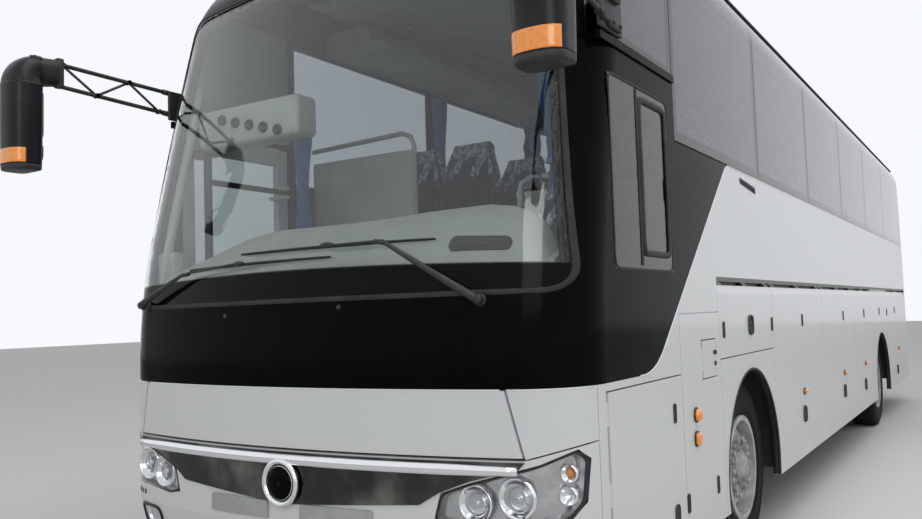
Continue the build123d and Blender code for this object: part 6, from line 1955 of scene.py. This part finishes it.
TAIL_LAMPS = [(1.485, 0.062, red_lens), (1.300, 0.062, amber), (1.125, 0.055, reflector)]
trays, rounds = [], {}
for sign in (-1, 1):
    y = sign * 1.010
    trays.append(band(soft_box(y - 0.080, 1.020, y + 0.080, 1.580, 0.03),
                      [(0.012, 0.001), (0.010, -0.010), (0.0, -0.012), (-0.006, -0.004)],
                      tail_shell))
    for z, r, paint in TAIL_LAMPS:
        dome = [(0.0004, 0.024), (0.30 * r, 0.0235), (0.60 * r, 0.021), (0.85 * r, 0.015),
                (r, 0.004), (r, -0.001), (0.0004, -0.001)]
        ring = [(r, 0.002), (1.03 * r, 0.009), (1.10 * r, 0.009), (1.16 * r, 0.002),
                (1.16 * r, -0.001), (r, -0.001)]
        rounds.setdefault(paint, []).append(
            lathe([(a, -h) for a, h in dome], (TAIL_X, y, z), "X", 36))
        trays.append(lathe([(a, -h) for a, h in ring], (TAIL_X, y, z), "X", 36))
piece("tail_lamp_frames", "coach", grained_black, joined("frames", trays))
for k, (paint, meshes) in enumerate(rounds.items()):
    piece(f"tail_lenses_{k + 1}", "coach", paint, joined("lenses", meshes))
marker_lenses, marker_feet = [], []
for y in (-1.02, -0.92, 0.92, 1.02):
    at = tail_shell(y, 3.080)
    for profile, target in (
        ([(0.0004, 0.018), (0.015, 0.016), (0.024, 0.009), (0.026, -0.004), (0.0004, -0.004)],
         marker_lenses),
        ([(0.026, 0.006), (0.032, 0.006), (0.035, 0.0), (0.035, -0.010), (0.026, -0.010)],
         marker_feet),
    ):
        target.append(lathe([(r, -h) for r, h in profile], at, "X", 28))
piece("tail_markers", "coach", red_lens, joined("markers", marker_lenses))
piece("tail_marker_feet", "coach", grained_black, joined("feet", marker_feet))

# %% [markdown]
# Hot air leaves the engine bay through sloping slats, which keep the rain out as it goes.
# Each slat is one folded strip carried straight across, so two end rings make its mesh.

# %% Engine lid and rear bumper
def slat(y_low, y_high, z, deep=0.026, high=0.030):
    """One sloping slat of an air grille, standing off the tail."""
    profile = [(0.002, high), (0.0, high - 0.004), (-deep, 0.004), (-deep, 0.0),
               (-deep + 0.004, 0.0), (0.002, high - 0.010)]
    return loft([[Vector((TAIL_X + dx, y, z + dz)) for dx, dz in profile]
                 for y in (y_low, y_high)])


grille = []
for y_low, y_high in ((-0.74, -0.06), (0.06, 0.74)):
    for k in range(9):
        grille.append(slat(y_low, y_high, 1.185 + 0.043 * k))
    edge = soft_box(y_low - 0.012, 1.168, y_high + 0.012, 1.578, 0.02, 4)
    edge_ring = [(0.010, 0.001), (0.008, -0.010), (-0.004, -0.010), (-0.006, 0.001)]
    grille.append(band(edge, edge_ring, tail_shell))
    backing = [(y_low, 1.172), (y_high, 1.172), (y_high, 1.574), (y_low, 1.574)]
    grille.append(mesh_of("backing", [tail_shell(y, z, -0.001) for y, z in backing],
                          [(0, 1, 2, 3)]))
piece("engine_lid_grille", "engine_lid", grained_black, joined("grille", grille))
pad_rings = stack(soft_box(-0.260, 1.000, 0.260, 1.112, 0.012, 4), (
    (0.004, 0.001), (0.003, -0.006), (0.0, -0.008), (-0.004, -0.008)), tail_shell)
piece("rear_plate_pad", "engine_lid", frame_steel, loft(pad_rings))
plate_lamps = [block((TAIL_X - 0.030, y - 0.040, 1.124), (TAIL_X - 0.002, y + 0.040, 1.148),
                     0.006) for y in (-0.16, 0.16)]
handle = tube([(TAIL_X + dx, y, 0.945) for dx, y in (
    (0.004, -0.11), (-0.022, -0.10), (-0.026, -0.06), (-0.026, 0.06), (-0.022, 0.10),
    (0.004, 0.11))], 0.008)
piece("engine_lid_fittings", "engine_lid", grained_black,
      joined("fittings", plate_lamps + [handle]))
reflectors = [loft(stack(soft_box(y - 0.09, 0.560, y + 0.09, 0.620, 0.012, 4), (
    (0, 0.001), (0, -0.006), (-0.004, -0.009)), tail_shell)) for y in (-0.86, 0.86)]
piece("rear_reflectors", "coach", red_lens, joined("reflectors", reflectors))
print("rear fittings ready")
# %% [markdown]
# A rubber-covered gutter runs along each edge of the roof, where the curve turns down
# to the glass. From the ground it is the dark line that ends the side against the sky.

# %% Roof gutters
EDGE_R, EDGE_Y, EDGE_Z = 0.326, 0.955, 3.180
gutters = []
for sign in (-1, 1):
    y, z = sign * (EDGE_Y + EDGE_R * cos(radians(36))), EDGE_Z + EDGE_R * sin(radians(36))
    ends = (4.620, 4.610, 4.590, -5.570, -5.590, -5.600)
    gutters.append(tube([(x, y, z) for x in ends], [0.003, 0.008, 0.011, 0.011, 0.008, 0.003], 14))
piece("roof_gutters", "coach", rubber, joined("gutters", gutters))
print("roof gutters ready")

# %% [markdown]
# On the roof sits the air conditioner: a low moulded cover with round fan grilles along its
# middle and slotted air inlets at its sides. Two hatches fore and aft have domed lids with a frame.

# %% Roof fittings
ROOF_TOP_Z = 3.500
AC_TOP_Z = 3.690
AC_MIDDLE_X = -0.700
fans = []
for dx in (-0.84, -0.28, 0.28, 0.84):
    centre = Vector((AC_MIDDLE_X + dx, 0.0, AC_TOP_Z))
    rim = [(0.212, -0.002), (0.214, 0.004), (0.222, 0.007), (0.234, 0.004), (0.236, -0.002)]
    fans.append(lathe(rim, centre, "Z", 56))
    fans.append(lathe([(0.0004, 0.006), (0.040, 0.006), (0.046, 0.003), (0.046, -0.002),
                       (0.0004, -0.002)], centre, "Z", 28))
    for r in (0.075, 0.105, 0.135, 0.165, 0.192):
        fans.append(tube([centre + Vector((r * cos(a), r * sin(a), 0.003)) for a in turns(48)],
                         0.0026, 6, closed=True))
    for a in turns(8):
        fans.append(tube([centre + Vector((r * cos(a), r * sin(a), 0.0045))
                          for r in (0.045, 0.215)], 0.003, 6))
    disc = [centre + Vector((0.213 * cos(a), 0.213 * sin(a), 0.0006)) for a in turns(48)]
    fans.append(mesh_of("well", disc, [range(48)]))
piece("roof_fans", "coach", grained_black, joined("fans", fans))

inlets = []
for sign in (-1, 1):
    for k in range(16):
        for dx in (0.0, 0.045):
            x = AC_MIDDLE_X - 1.125 + 0.150 * k + dx
            inlets.append(tube([(x, sign * 0.9005, z) for z in (3.530, 3.600)], 0.006, 8))
piece("roof_unit_slots", "coach", grained_black, joined("slots", inlets))
ribs = [block((AC_MIDDLE_X - 1.10, y - 0.012, AC_TOP_Z - 0.003),
              (AC_MIDDLE_X + 1.10, y + 0.012, AC_TOP_Z + 0.006))
        for y in (-0.42, -0.62, 0.42, 0.62)]
piece("roof_unit_ribs", "coach", pale_highlight_white, joined("ribs", ribs))

frames = []
for x in (2.600, -3.900):
    rings = []
    for half, up in ((0.338, -0.002), (0.330, 0.004), (0.290, 0.010), (0.285, 0.006),
                     (0.272, 0.006), (0.265, 0.011), (0.150, 0.020), (0.050, 0.022)):
        line = soft_box(x - half, -half, x + half, half, min(0.05, half * 0.5), 6)
        rings.append([Vector((u, v, ROOF_TOP_Z + 0.045 + up)) for u, v in line])
    frames.append(loft(rings))
    for sign in (-1, 1):
        frames.append(block((x - 0.10, sign * 0.352 - 0.010, ROOF_TOP_Z + 0.004),
                            (x + 0.10, sign * 0.352 + 0.010, ROOF_TOP_Z + 0.034), 0.005, 3))
piece("roof_hatch_lids", "coach", pale_plastic, joined("lids", frames))
print("roof fittings ready")

# %% [markdown]
# Under the floor, a shaft with a joint at each end runs from the engine to the rear axle.

# %% Drive shaft
shaft = [tube([(-4.62, 0, 0.64), (-3.30, 0, 0.56)], 0.050, 20)]
for x, z in ((-4.66, 0.642), (-3.26, 0.557)):
    shaft.append(lathe([(0.0004, -0.035), (0.070, -0.035), (0.074, -0.030), (0.074, 0.030),
                        (0.070, 0.035), (0.0004, 0.035)], (x, 0, z), "X", 28))
piece("drive_shaft", "coach", frame_steel, joined("shaft", shaft))
print("drive shaft ready")

# %% [markdown]
# The floor is a pale plain sheet that fades into the white world.

# %% Floor
floor_mesh = mesh_of("floor", [(-60, -60, 0), (60, -60, 0), (60, 60, 0), (-60, 60, 0)],
                     [(0, 1, 2, 3)], smooth=False)
floor = bpy.data.objects.new("floor", floor_mesh)
scene.collection.objects.link(floor)
floor_mesh.materials.append(floor_paint.material)
